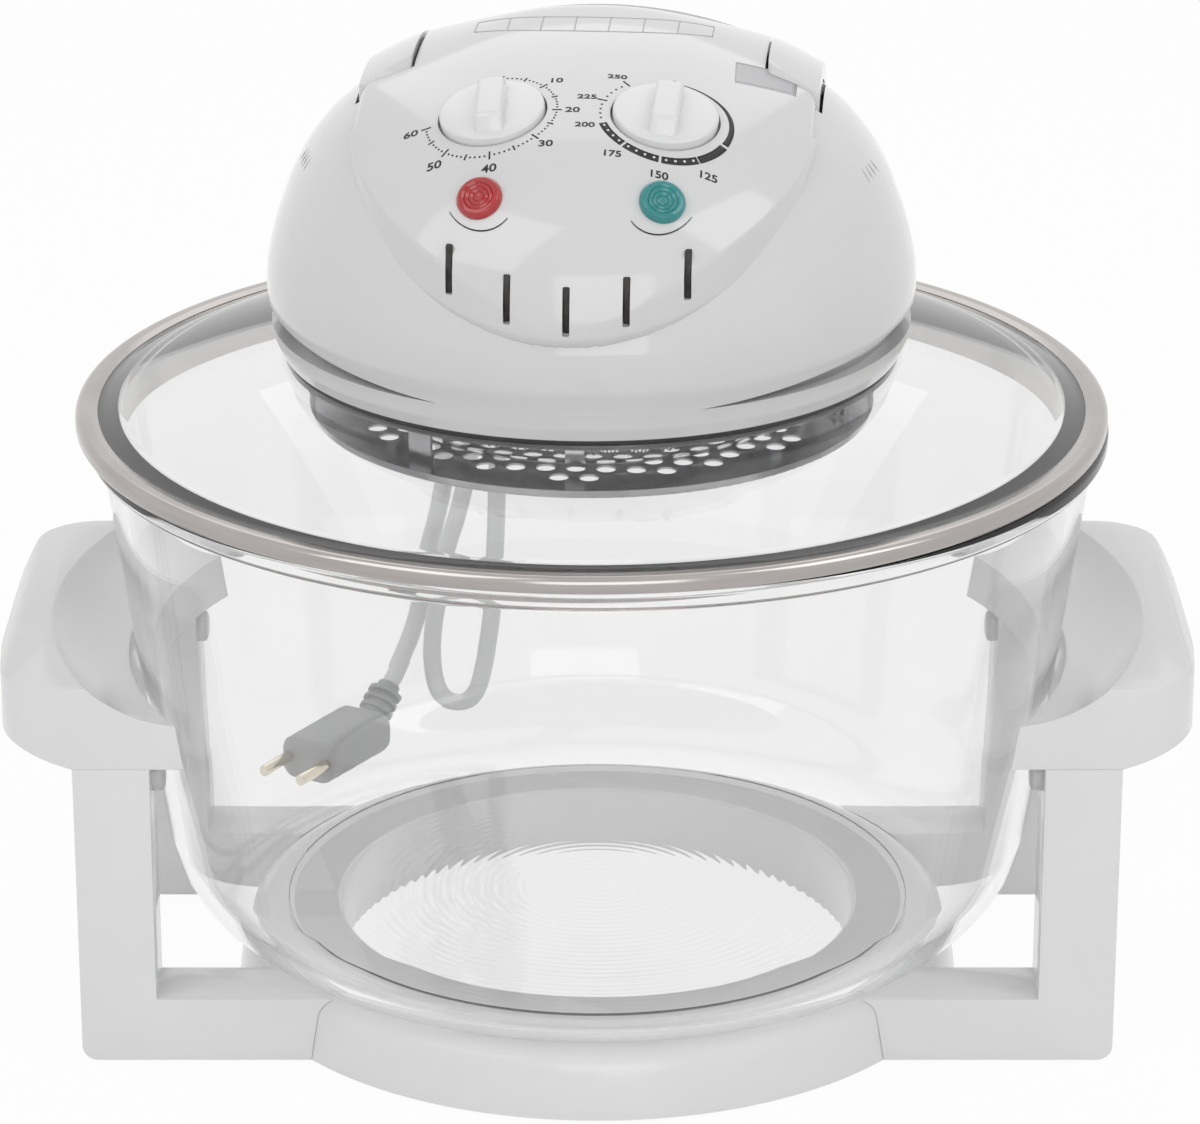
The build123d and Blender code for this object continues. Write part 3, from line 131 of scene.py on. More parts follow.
class Look(Enum):
    """Every finish on the oven."""

    HEAD = Finish("head gloss white", (0.70, 0.70, 0.70), 0.11, coat=0.6, mottle=0.012, grain=0.004,
                  grain_scale=260.0, rough_spread=0.03)
    PANEL = Finish("panel white", (0.68, 0.68, 0.68), 0.12, coat=0.5, mottle=0.012, grain=0.005,
                   grain_scale=320.0, rough_spread=0.03)
    KNOB = Finish("knob white", (0.76, 0.76, 0.76), 0.18, coat=0.4, mottle=0.012, grain=0.004, rough_spread=0.03)
    STAND = Finish("stand white", (0.78, 0.78, 0.785), 0.2, coat=0.35, mottle=0.015, grain=0.012,
                   grain_scale=420.0, rough_spread=0.05)
    GLASS = Finish("bowl glass", (0.93, 0.93, 0.93), 0.01, transmission=1.0, mottle=0.004, grain=0.01,
                   grain_scale=45.0, rough_spread=0.008)
    LID_GLASS = Finish("lid glass", (0.89, 0.89, 0.89), 0.012, transmission=1.0, mottle=0.004, grain=0.008,
                       grain_scale=40.0, rough_spread=0.008)
    BAND = Finish("polished band", (0.42, 0.395, 0.38), 0.16, metallic=1.0, mottle=0.06, grain=0.03,
                  grain_scale=300.0, stretch=(1.0, 1.0, 12.0))
    SEAL = Finish("seal rubber", (0.05, 0.05, 0.05), 0.6, grain=0.06)
    RUBBER = Finish("foot rubber", (0.16, 0.16, 0.16), 0.7, grain=0.15, mottle=0.1)
    BUMPER = Finish("clear bumper", (0.80, 0.80, 0.80), 0.35, transmission=0.35, grain=0.05)
    MARK = Finish("dial ink", (0.012, 0.012, 0.013), 0.42, mottle=0.1, grain=0.02)
    PALE_MARK = Finish("pale ink", (0.72, 0.72, 0.72), 0.4, mottle=0.02)
    # Painted shade: near-black plates set inside the panel's slots stand in for the shadow within them.
    GROOVE = Finish("slot shadow", (0.045, 0.042, 0.04), 0.7, mottle=0.4, mottle_scale=300.0, grain=0.2)
    # Painted shade: grey strips laid on the white dome stand in for the shadow inside its fine vent grooves.
    FAINT = Finish("painted vent shade", (0.55, 0.55, 0.56), 0.5, mottle=0.03)
    PLATE = Finish("blank silver plate", (0.42, 0.42, 0.43), 0.35, metallic=0.6, mottle=0.05, grain=0.03)
    RED = Finish("red lens", (0.50, 0.004, 0.008), 0.06, coat=0.7, transmission=0.2, mottle=0.12, grain=0.01)
    TEAL = Finish("teal lens", (0.002, 0.27, 0.27), 0.06, coat=0.7, transmission=0.2, mottle=0.12, grain=0.01)
    NEON = Finish("neon glass", (0.90, 0.62, 0.48), 0.1, transmission=0.5)
    STEEL = Finish("plated steel", (0.50, 0.50, 0.51), 0.3, metallic=1.0, mottle=0.08, grain=0.04)
    GUARD = Finish("bright guard sheet", (0.40, 0.40, 0.41), 0.2, metallic=1.0, mottle=0.14, mottle_scale=60.0,
                   grain=0.03, grain_scale=200.0)
    SHIELD = Finish("shield sheet", (0.46, 0.46, 0.47), 0.24, metallic=1.0, mottle=0.15, mottle_scale=50.0)
    QUARTZ = Finish("quartz tube", (0.96, 0.96, 0.96), 0.02, transmission=1.0, mottle=0.01, grain=0.0)
    FILAMENT = Finish("filament wire", (0.30, 0.29, 0.28), 0.35, metallic=1.0, mottle=0.1)
    CERAMIC = Finish("end ceramic", (0.86, 0.85, 0.81), 0.55, mottle=0.05, grain=0.1)
    WOOL = Finish("mineral wool", (0.66, 0.64, 0.60), 0.95, mottle=0.2, mottle_scale=200.0, grain=0.6)
    MOTOR = Finish("motor iron", (0.30, 0.30, 0.31), 0.45, metallic=0.8, mottle=0.15, grain=0.1)
    MOULDING = Finish("unit moulding", (0.07, 0.07, 0.075), 0.5, mottle=0.08, grain=0.06)
    LEAD = Finish("lead sleeve", (0.36, 0.20, 0.10), 0.45, mottle=0.08)
    CORD = Finish("cord sheath", (0.76, 0.765, 0.77), 0.42, mottle=0.04, grain=0.05, grain_scale=500.0)
    TIE = Finish("tie strip", (0.85, 0.85, 0.85), 0.4, mottle=0.03)
    PLUG = Finish("plug moulding", (0.42, 0.425, 0.43), 0.45, mottle=0.06, grain=0.08)
    PIN = Finish("plated pin", (0.72, 0.66, 0.52), 0.25, metallic=1.0, mottle=0.06)
    FLOOR = Finish("studio floor", (0.90, 0.90, 0.90), 0.6, mottle=0.004, mottle_scale=2.0, grain=0.0)


# ---- bench tools ------------------------------------------------------------------------------
@contextmanager
def editing(piece: bpy.types.Object, select: bool = True) -> Iterator[bpy.types.Mesh]:
    """Open a piece in edit mode and leave it in object mode afterwards."""
    focus(piece)
    bpy.ops.object.mode_set(mode="EDIT")
    bpy.ops.mesh.select_all(action="SELECT" if select else "DESELECT")
    yield piece.data
    bpy.ops.object.mode_set(mode="OBJECT")


def deselect() -> None:
    """Leave nothing selected."""
    bpy.ops.object.select_all(action="DESELECT")


def focus(piece: bpy.types.Object) -> None:
    """Select one piece alone and make it the active one."""
    deselect()
    piece.select_set(True)
    bpy.context.view_layer.objects.active = piece


def started(name: str) -> bpy.types.Object:
    """Name the primitive that was just added and take hold of its mesh."""
    return started_as(bpy.context.view_layer.objects.active, name)


def started_as(piece: bpy.types.Object, name: str) -> bpy.types.Object:
    """Rename a piece and its mesh."""
    piece.name = name
    piece.data.name = name
    return piece


def finished(look: Look, *nodes: str) -> None:
    """Give CAD nodes that keep their shape a finish."""
    for node in nodes:
        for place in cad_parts[node].material_slots:
            place.material = look.value.material()


def settle(piece: bpy.types.Object, matrix: Matrix | None = None) -> bpy.types.Object:
    """Put a piece's place into its mesh, with its object at the origin."""
    if matrix is not None:
        bpy.context.view_layer.update()
        piece.matrix_world = matrix @ piece.matrix_world
    focus(piece)
    bpy.ops.object.transform_apply(location=True, rotation=True, scale=True)
    return piece


def apply(piece: bpy.types.Object, kind: str, **values: object) -> bpy.types.Object:
    """Add one modifier to a piece, set its values and apply it."""
    focus(piece)
    modifier = piece.modifiers.new(kind.lower(), kind)
    for key, value in values.items():
        setattr(modifier, key, value)
    bpy.ops.object.modifier_apply(modifier=modifier.name)
    return piece


def smooth(piece: bpy.types.Object, degrees: float = 35.0) -> bpy.types.Object:
    """Shade a piece smooth, with edges sharper than an angle kept crisp."""
    focus(piece)
    bpy.ops.object.shade_smooth_by_angle(angle=math.radians(degrees))
    return piece


def clear(piece: bpy.types.Object) -> bpy.types.Object:
    """Let lamplight and fill light through a clear piece, as thin glass does."""
    piece.visible_shadow = False
    piece.visible_diffuse = False
    return piece


def dress(piece: bpy.types.Object, look: Look, body: str, slot: str, *nodes: str) -> bpy.types.Object:
    """Give a piece its finish and its body, and hide the CAD solids it stands for.

    Args:
        piece: The finished piece.
        look: Its finish.
        body: The body that it moves with.
        slot: The record's material slot; not used.
        nodes: CAD nodes that it replaces.

    Returns:
        The same piece.
    """
    piece.data.materials.clear()
    piece.data.materials.append(look.value.material())
    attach(piece, body)
    if nodes:
        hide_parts(*nodes)
    LOG.info("%s rides on %s", piece.name, body)
    return piece


def merged(name: str, node: str, degrees: float = 32.0, bevel: float = 0.0, parts: int = 2) -> bpy.types.Object:
    """Copy a CAD node's mesh, join its loose triangles and soften its edges.

    Args:
        name: Name of the new piece.
        node: The CAD node.
        degrees: Edges flatter than this are shaded smooth.
        bevel: Width of the softened edges in millimetres, or 0.
        parts: Segments across a softened edge.

    Returns:
        The new piece, not dressed yet.
    """
    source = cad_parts[node]
    piece = bpy.data.objects.new(name, source.data.copy())
    piece.data.name = name
    bpy.context.scene.collection.objects.link(piece)
    with editing(piece):
        bpy.ops.mesh.remove_doubles(threshold=0.000004)
        bpy.ops.mesh.dissolve_limited(angle_limit=math.radians(0.4))
    if bevel:
        apply(piece, "BEVEL", width=bevel * MM, segments=parts, limit_method="ANGLE",
              angle_limit=math.radians(40.0), use_clamp_overlap=True, harden_normals=False)
    return smooth(piece, degrees)


def rounded(*corners: Sequence[float], steps: int = 6) -> list[Point2]:
    """Turn (radius, height) corners into a profile; a third number rounds that corner.

    Args:
        corners: The corners in order, in millimetres.
        steps: Points along each rounding.

    Returns:
        The points of the closed profile.
    """
    points: list[Point2] = []
    count = len(corners)
    for index, corner in enumerate(corners):
        at = Vector(corner[:2])
        if len(corner) < 3:
            points.append(tuple(at))
            continue
        before = (Vector(corners[index - 1][:2]) - at).normalized()
        after = (Vector(corners[(index + 1) % count][:2]) - at).normalized()
        half = before.angle(after) / 2
        reach = corner[2] / math.tan(half)
        centre = at + (before + after).normalized() * (corner[2] / math.sin(half))
        start, end = at + before * reach - centre, at + after * reach - centre
        sweep = start.angle_signed(end)
        for step in range(steps + 1):
            turn = Matrix.Rotation(-sweep * step / steps, 2)
            points.append(tuple(centre + turn @ start))
    return points


def turned(name: str, profile: Sequence[Point2], steps: int = 144, degrees: float = 30.0) -> bpy.types.Object:
    """Spin a closed (radius, height) profile round the upright axis.

    Args:
        name: Name of the piece.
        profile: Points in millimetres.
        steps: Facets round the axis.
        degrees: Edges flatter than this are shaded smooth.

    Returns:
        The piece.
    """
    deselect()
    bpy.ops.mesh.primitive_circle_add(vertices=len(profile), radius=0.1, fill_type="NOTHING")
    piece = started(name)
    for vertex, (radius, height) in zip(piece.data.vertices, profile):
        vertex.co = (radius * MM, 0, height * MM)
    with editing(piece):
        bpy.ops.mesh.spin(steps=steps, angle=2 * math.pi, center=(0, 0, 0), axis=(0, 0, 1))
        bpy.ops.mesh.select_all(action="SELECT")
        bpy.ops.mesh.remove_doubles(threshold=0.000003)
        bpy.ops.mesh.normals_make_consistent(inside=False)
    return smooth(piece, degrees)


def draped(name: str, columns: int, rows: int, place: Callable[[float, float], Point3]) -> bpy.types.Object:
    """Shape a primitive grid into a surface, and join its edges where they meet.

    Args:
        name: Name of the piece.
        columns: Cells across.
        rows: Cells along.
        place: Gives the point in millimetres for shares (0 to 1) across and along.

    Returns:
        The piece.
    """
    deselect()
    bpy.ops.mesh.primitive_grid_add(x_subdivisions=columns, y_subdivisions=rows, size=1.0)
    piece = started(name)
    for vertex in piece.data.vertices:
        across, along = vertex.co.x + 0.5, vertex.co.y + 0.5
        vertex.co = Vector(place(across, along)) * MM
    with editing(piece):
        bpy.ops.mesh.remove_doubles(threshold=0.000003)
        bpy.ops.mesh.normals_make_consistent(inside=False)
    return smooth(piece, 40.0)


def bar(name: str, low: Point3, high: Point3, bevel: float, segments: int = 3) -> bpy.types.Object:
    """Add a bar between two corners, in millimetres, with rounded edges."""
    deselect()
    size = [top - base for base, top in zip(low, high)]
    middle = [(base + top) / 2 * MM for base, top in zip(low, high)]
    bpy.ops.mesh.primitive_cube_add(size=1.0, location=middle)
    piece = started(name)
    piece.scale = [part * MM for part in size]
    settle(piece)
    with editing(piece):
        bpy.ops.mesh.bevel(offset=bevel * MM, segments=segments, profile=0.5, affect="EDGES")
    return smooth(piece, 50.0)


def joined(name: str, pieces: Sequence[bpy.types.Object]) -> bpy.types.Object:
    """Join pieces into one."""
    deselect()
    for piece in pieces:
        piece.select_set(True)
    bpy.context.view_layer.objects.active = pieces[0]
    if len(pieces) > 1:
        bpy.ops.object.join()
    return started(name)


# ---- studio -----------------------------------------------------------------------------------
def backdrop_rays(nodes: bpy.types.Nodes, links: bpy.types.NodeLinks) -> bpy.types.Node:
    """Add up the rays that see the backdrop itself: camera, glossy and transmission rays.

    Args:
        nodes: The node tree's nodes.
        links: The node tree's links.

    Returns:
        A node whose value is 1 for those rays and 0 for the rest.
    """
    rays = nodes.new("ShaderNodeLightPath")
    total = nodes.new("ShaderNodeMath")
    total.operation = "MAXIMUM"
    links.new(rays.outputs["Is Camera Ray"], total.inputs[0])
    links.new(rays.outputs["Is Transmission Ray"], total.inputs[1])
    final = nodes.new("ShaderNodeMath")
    final.operation = "MAXIMUM"
    links.new(total.outputs["Value"], final.inputs[0])
    links.new(rays.outputs["Is Glossy Ray"], final.inputs[1])
    return final


@dataclass
class Studio:
    """The floor, the soft lights and the camera."""

    lens: float = 156.0
    camera_place: Point3 = (0.0004, -1.602, 0.7529)
    pitch: float = 90.0 - 20.78
    shift: Point2 = (0.0011, 0.0)
    floor_size: float = 12.0
    floor_glow: float = 0.95
    fill: float = 0.60
    boxes: tuple[tuple[Point3, Point3, float, float], ...] = (
        ((-0.75, -0.75, 1.25), (0.0, 0.0, 0.15), 0.9, 3.4),
        ((0.85, -0.45, 1.15), (0.0, 0.0, 0.15), 0.7, 2.4),
        ((0.0, 0.9, 1.2), (0.0, 0.0, 0.2), 1.0, 1.8),
        ((0.15, -2.3, 0.7), (0.0, 0.0, 0.12), 1.3, 7.0),
    )

    def camera(self) -> None:
        """Set the camera up where the oven is seen from."""
        data = bpy.data.cameras.new("camera")
        data.lens, data.sensor_width = self.lens, 36.0
        data.shift_x, data.shift_y = self.shift
        camera = bpy.data.objects.new("camera", data)
        camera.location = self.camera_place
        camera.rotation_euler = (math.radians(self.pitch), 0, 0)
        bpy.context.scene.collection.objects.link(camera)
        bpy.context.scene.camera = camera

    def floor(self) -> None:
        """Lay a plain pale floor."""
        deselect()
        bpy.ops.mesh.primitive_plane_add(size=self.floor_size, location=(0, 0, -0.0002))
        floor = settle(started("studio_floor"))
        cover = Look.FLOOR.value.material()
        floor.data.materials.append(cover)
        nodes, links = cover.node_tree.nodes, cover.node_tree.links
        glow, blend = nodes.new("ShaderNodeEmission"), nodes.new("ShaderNodeMixShader")
        share = nodes.new("ShaderNodeMath")
        share.operation = "MULTIPLY"
        share.inputs[1].default_value = self.floor_glow
        links.new(backdrop_rays(nodes, links).outputs["Value"], share.inputs[0])
        links.new(share.outputs["Value"], blend.inputs["Fac"])
        links.new(nodes["Principled BSDF"].outputs["BSDF"], blend.inputs[1])
        links.new(glow.outputs["Emission"], blend.inputs[2])
        links.new(blend.outputs["Shader"], nodes["Material Output"].inputs["Surface"])

    def lights(self) -> None:
        """Hang the softboxes and set the sky's even fill."""
        for index, (place, target, size, power) in enumerate(self.boxes):
            data = bpy.data.lights.new(f"softbox_{index}", "AREA")
            data.shape, data.size, data.energy = "SQUARE", size, power
            light = bpy.data.objects.new(data.name, data)
            light.location = place
            light.rotation_euler = (Vector(target) - Vector(place)).to_track_quat("-Z", "Y").to_euler()
            bpy.context.scene.collection.objects.link(light)
        world = bpy.data.worlds.new("studio")
        world.use_nodes = True
        bpy.context.scene.world = world
        nodes, links = world.node_tree.nodes, world.node_tree.links
        sky = nodes["Background"]
        sky.inputs["Color"].default_value = (1, 1, 1, 1)
        level = nodes.new("ShaderNodeMapRange")
        level.inputs["To Min"].default_value = self.fill
        level.inputs["To Max"].default_value = 1.0
        links.new(backdrop_rays(nodes, links).outputs["Value"], level.inputs["Value"])
        links.new(level.outputs["Result"], sky.inputs["Strength"])

    def build(self) -> None:
        """Set up the whole studio."""
        bpy.context.scene.view_settings.view_transform = "Standard"
        self.camera()
        self.floor()
        self.lights()


# ---- bowl -------------------------------------------------------------------------------------
@dataclass
class Bowl:
    """The glass bowl, with fine pressed rings in its floor."""

    base_z: float = 24.0
    top_z: float = 198.0
    foot_r: float = 138.9
    flare: float = 0.1358
    wall: float = 4.5
    floor: float = 5.5
    corner_r: float = 42.0
    rim_r: float = 166.0
    rim_depth: float = 6.5
    ripple_reach: float = 104.0
    ripple_pitch: float = 3.2
    ripple_height: float = 0.03

    def radius(self, height: float) -> float:
        """Outer radius of the straight wall at a height."""
        return self.foot_r + self.flare * (height - self.base_z)

    def profile(self) -> list[Point2]:
        """Lay out the bowl's section.

        Returns:
            The closed section, with the rings along the floor.
        """
        low, high = self.top_z - self.rim_depth, self.top_z
        inner = self.base_z + self.floor
        shape = rounded(
            (0, self.base_z), (self.foot_r, self.base_z, self.corner_r), (self.radius(low), low, 2.0),
            (self.rim_r, low, 2.4), (self.rim_r, high, 2.2), (self.radius(high) - self.wall, high, 2.0),
            (self.radius(inner) - self.wall, inner, self.corner_r - self.wall), steps=10)
        steps = round(self.ripple_reach / self.ripple_pitch) * 6
        for step in range(steps + 1):
            reach = self.ripple_reach * (1 - step / steps)
            lift = 0.5 - 0.5 * math.cos(2 * math.pi * reach / self.ripple_pitch)
            shape.append((reach, inner + self.ripple_height * lift))
        return shape

    def build(self) -> None:
        """Make the bowl."""
        bowl = clear(turned("bowl_glass", self.profile(), 180, 60.0))
        dress(bowl, Look.GLASS, "bowl", "bowl_glass", "glass_bowl")


# ---- lid glass and its rim --------------------------------------------------------------------
@dataclass
class LidPlate:
    """The lid's glass with its rolled metal band and seal."""

    band_r: float = 167.5
    band_top: float = 203.4
    sheet: float = 0.8
    lip_r: float = 160.2
    skirt_r: float = 152.0
    skirt_z: float = 190.0
    rim_z: float = 198.0
    glass_top: float = 202.6
    glass_edge: float = 3.0
    glass_t: float = 4.0
    dome_r: float = 345.0
    foot_r: float = 100.0
    hole_r: float = 91.0
    head_z: float = 222.5

    def arc(self, start: Point2, end: Point2, steps: int = 24) -> list[Point2]:
        """Points along a shallow arc that bulges upwards between two points."""
        first, last = Vector(start), Vector(end)
        across = last - first
        square = Vector((-across.y, across.x)).normalized()
        if square.y > 0:
            square.negate()
        middle = (first + last) / 2 + square * math.sqrt(self.dome_r**2 - (across.length / 2)**2)
        turns = [math.atan2(point.y - middle.y, point.x - middle.x) for point in (first, last)]
        turns = [turns[0] + (turns[1] - turns[0]) * step / steps for step in range(steps + 1)]
        return [(middle.x + self.dome_r * math.cos(turn), middle.y + self.dome_r * math.sin(turn)) for turn in turns]

    def build(self) -> None:
        """Make the glass, the band and the seal."""
        low = self.glass_top - self.glass_edge
        inner = self.band_r - self.sheet
        under = self.head_z - self.glass_t
        section = self.arc((self.lip_r - 0.5, self.glass_top), (self.foot_r, self.head_z))
        section += [(self.hole_r, self.head_z), (self.hole_r, under)]
        section += self.arc((self.foot_r - 1, under), (self.skirt_r, low))
        section += [(inner - 0.1, low), (inner - 0.1, self.glass_top), (self.lip_r - 0.2, self.glass_top)]
        glass = clear(settle(turned("lid_glass_dome", section, 180, 25.0), LID_POSE))
        dress(glass, Look.LID_GLASS, "lid", "lid_glass", "lid_glass")
        band = turned("lid_band", rounded(
            (self.skirt_r - self.sheet, self.skirt_z), (self.skirt_r, self.skirt_z), (self.skirt_r, self.rim_z),
            (self.band_r - 0.5, self.rim_z, 0.4), (self.band_r, self.rim_z + 1.0, 0.5),
            (self.band_r, self.band_top, 2.4), (self.lip_r + 2.6, self.band_top, 1.2),
            (self.lip_r, self.glass_top + 0.12, 0.2), (self.lip_r, self.glass_top),
            (inner, self.glass_top), (inner, self.rim_z + self.sheet),
            (self.skirt_r - self.sheet, self.rim_z + self.sheet), steps=6), 200, 28.0)
        dress(settle(band, LID_POSE), Look.BAND, "lid", "polished_band", "lid_rim_band")
        finished(Look.SEAL, "lid_seal")


# ---- head -------------------------------------------------------------------------------------
@dataclass
class HeadShell:
    """The domed housing with its collar, side vents and carry handle."""

    dome_line: tuple[Point2, ...] = (
        (104.2, 251.5), (102.0, 262.0), (98.4, 272.5), (92.0, 286.5), (84.0, 297.0), (73.0, 305.5))
    vent_starts: tuple[Point2, ...] = ((-16.2, 295.0), (-14.1, 295.0), (-12.6, 295.0), (-11.2, 295.0))
    vent_ends: tuple[Point2, ...] = ((-15.4, 277.0), (-12.8, 278.4), (-10.1, 280.0), (-7.2, 282.0))
    vent_width: float = 0.7

    def radius(self, height: float) -> float:
        """Radius of the dome at a height, on a smooth line through its points."""
        points = self.dome_line
        for index in range(len(points) - 1):
            (before, low), (after, high) = points[index:index + 2]
            if low <= height <= high:
                share = (height - low) / (high - low)
                bulge = 0.5 * share * (1 - share)
                return before + (after - before) * share + bulge
        return points[0][0]

    def vents(self) -> bpy.types.Object:
        """Lay four fine slanted grey strips on each side of the dome, painted shade of the vent grooves."""
        lines = []
        for side in (-1, 1):
            for (turn0, high), (turn1, low) in zip(self.vent_starts, self.vent_ends):
                def place(across: float, along: float) -> Point3:
                    """Point on one strip of painted groove shade."""
                    height = high + (low - high) * along
                    reach = self.radius(height) + 0.06
                    wide = self.vent_width * (across - 0.5) * math.sin(math.pi * (0.15 + 0.7 * along))
                    turn = math.radians(turn0 + (turn1 - turn0) * along) + wide / reach
                    return (side * reach * math.cos(turn), reach * math.sin(turn), height)
                lines.append(draped("vent_shade_strip", 1, 16, place))
        vents = joined("dome_vent_shade", lines)
        return settle(apply(vents, "SOLIDIFY", thickness=0.1 * MM, offset=1.0), LID_POSE)

    def build(self) -> None:
        """Dress the housing, the collar and the carry handle."""
        finished(Look.HEAD, "upper_housing", "head_collar", "cord_gland")
        finished(Look.STEEL, "hinge_plates", "handle_pins")
        # The vent strips are painted shade: flat grey lines on the dome in place of the grooves' shadow.
        dress(self.vents(), Look.FAINT, "lid", "head_plastic")
        handle = merged("carry_handle_bow", "carry_handle", 40.0, bevel=1.2, parts=3)
        dress(handle, Look.PANEL, "handle", "handle_plastic", "carry_handle")


# ---- control panel ----------------------------------------------------------------------------
@dataclass
class ControlPod:
    """The raised control panel with its wells, slots, dial marks, knobs and lamps."""

    crown_top: float = 326.8
    crown_y: float = 24.0
    crown_r: float = 262.0
    side_r: float = 230.0
    rear_round: float = 36.0
    half: float = 73.5
    rear_y: float = 59.0
    sweep_y: float = 8.0
    nose_z: float = 255.6
    nose_reach: float = 113.5
    nose_r: float = 54.0
    brow_r: float = 78.0
    nose_turn: float = 42.0
    brow_turn: float = 30.0
    ridge_blend: float = 2.2
    edge_round: float = 4.5
    lip_low: float = 252.4
    lip_rise: float = 0.0050
    base_z: float = 246.0
    knob_at: Point2 = (27.0, -52.5)
    well_r: float = 17.2
    well_depth: float = 6.5
    knob_r: float = 16.5
    lamp_x: float = 27.9
    lamp_turn: float = 45.0
    dial_r: float = 20.3
    slot_pitch: float = 18.2
    slot_width: float = 2.2
    slot_height: float = 15.0
    slot_low: float = 257.8
    slot_steps: Point3 = (0.0, 2.8, 9.5)
    pivot: Point2 = (4.0, 303.0)
    notch_r: float = 19.4
    notch_x: float = 55.5
    columns: int = 150
    rows: int = 170

    # -- surfaces
    def brow_centre(self) -> Point2:
        """Centre of the brow's arc in the panel's upright section."""
        turn = math.radians(self.nose_turn)
        spare = self.nose_r - self.brow_r
        return (self.nose_reach - self.nose_r + spare * math.cos(turn), self.nose_z + spare * math.sin(turn))

    def crown(self, x: float, y: float) -> float:
        """Height of the long crown above a point of the plan."""
        axis = self.crown_top - self.side_r
        if y <= self.crown_y:
            ridge = self.crown_top - self.crown_r + math.sqrt(self.crown_r**2 - (y - self.crown_y)**2)
        else:
            ridge = self.crown_top - self.rear_round
            ridge += math.sqrt(max(0.0, self.rear_round**2 - (y - self.crown_y)**2))
        return axis + math.sqrt((ridge - axis)**2 - x**2)

    def sweep(self, x: float, y: float) -> float:
        """Height of the turned brow and nose above a point of the plan."""
        reach = math.hypot(x, y - self.sweep_y)
        centre_r, centre_z = self.brow_centre()
        top = math.radians(self.nose_turn + self.brow_turn)
        brow_in, brow_out = (centre_r + self.brow_r * math.cos(turn) for turn in (top, math.radians(self.nose_turn)))
        if reach < brow_in:
            return centre_z + self.brow_r * math.sin(top) + (brow_in - reach) / math.tan(top)
        if reach < brow_out:
            return centre_z + math.sqrt(self.brow_r**2 - (reach - centre_r)**2)
        spare = min(reach - self.nose_reach + self.nose_r, self.nose_r)
        return self.nose_z + math.sqrt(self.nose_r**2 - spare**2)

    def height(self, x: float, y: float) -> float:
        """Height of the panel's surface, with the ridge between its two forms eased."""
        crown, sweep = self.crown(x, y), self.sweep(x, y)
        return (crown + sweep - math.hypot(crown - sweep, self.ridge_blend)) / 2

    def section(self, x: float) -> list[Vector]:
        """Points from the back of the panel to its lower front edge, in an upright plane.

        Args:
            x: Side distance of the plane.

        Returns:
            Evenly spaced points.
        """
        flank = math.sqrt(max(0.0, self.half**2 - x**2))
        front = max(self.sweep_y - math.sqrt(self.nose_reach**2 - x**2), self.half - 105.5 - flank)
        rear = self.rear_y
        if abs(x) > self.half - 20:
            rear = self.rear_y - 20 + math.sqrt(max(0.0, 400 - (abs(x) - self.half + 20)**2))
        lip = self.lip_low + self.lip_rise * x**2
        line = []
        for step in range(401):
            share = math.sin(math.pi / 2 * step / 400)
            y = rear + (front - rear) * share
            point = Vector((x, y, self.height(x, y)))
            if y < -40 and point.z < lip:
                break
            line.append(point)
        while line[-1].z > lip + 0.5:
            line.append(line[-1] - Vector((0, 0, 0.5)))
        spans = [0.0]
        for before, after in zip(line, line[1:]):
            spans.append(spans[-1] + (after - before).length)
        even, index = [], 0
        for row in range(self.rows + 1):
            goal = spans[-1] * row / self.rows
            while index < len(spans) - 2 and spans[index + 1] < goal:
                index += 1
            share = (goal - spans[index]) / max(1e-9, spans[index + 1] - spans[index])
            even.append(line[index].lerp(line[index + 1], min(1.0, share)))
        return even

    def skin(self) -> bpy.types.Object:
        """Drape the panel's surface and round its edge down into the dome.

        Returns:
            The closed body, in the head's frame.
        """
        reach = self.half - 0.15
        turns = [math.sin(math.pi / 2 * (2 * column / self.columns - 1)) for column in range(self.columns + 1)]
        sections = [self.section(reach * turn) for turn in turns]
        last = self.columns
        rim = [line[0] for line in sections] + [line[-1] for line in sections] + sections[0] + sections[last]
        tree = kdtree.KDTree(len(rim))
        for index, point in enumerate(rim):
            tree.insert(point, index)
        tree.balance()
        eased = []
        for column, line in enumerate(sections):
            row_points = []
            for row, point in enumerate(line):
                left, right = sections[max(0, column - 1)][row], sections[min(last, column + 1)][row]
                back, front = line[max(0, row - 1)], line[min(self.rows, row + 1)]
                square = (right - left).cross(back - front)
                square = square.normalized() if square.length > 1e-9 else Vector((0, 0, 1))
                near = min(tree.find(point)[2], self.edge_round)
                drop = self.edge_round - math.sqrt(self.edge_round**2 - (self.edge_round - near)**2)
                row_points.append(point - square * drop)
            eased.append(row_points)

        def place(across: float, along: float) -> Point3:
            """Point of the eased surface."""
            return tuple(eased[round(across * self.columns)][round(along * self.rows)])

        skin = draped("panel_skin", self.columns, self.rows, place)
        with editing(skin, select=False):
            bpy.ops.mesh.select_mode(type="EDGE")
            bpy.ops.mesh.select_non_manifold()
            bpy.ops.mesh.extrude_region_move(TRANSFORM_OT_translate={"value": (0, 0, -30 * MM)})
            bpy.ops.transform.resize(value=(0.96, 0.96, 0.0), center_override=(0, -20 * MM, self.base_z * MM))
            bpy.ops.mesh.edge_face_add()
            bpy.ops.mesh.select_all(action="SELECT")
            bpy.ops.mesh.normals_make_consistent(inside=False)
        return skin

    # -- places on the panel
    def knob_frame(self, side: int) -> Matrix:
        """Frame on the panel at a knob, its Z axis square to the crown."""
        x, y = side * self.knob_at[0], self.knob_at[1]
        step = 0.05
        slope_x = (self.crown(x + step, y) - self.crown(x - step, y)) / (2 * step)
        slope_y = (self.crown(x, y + step) - self.crown(x, y - step)) / (2 * step)
        up = Vector((-slope_x, -slope_y, 1)).normalized()
        level = Vector((0, 1, 0)).cross(up).normalized()
        turn = Matrix((level, up.cross(level), up)).transposed().to_4x4()
        return Matrix.Translation(Vector((x, y, self.crown(x, y))) * MM) @ turn

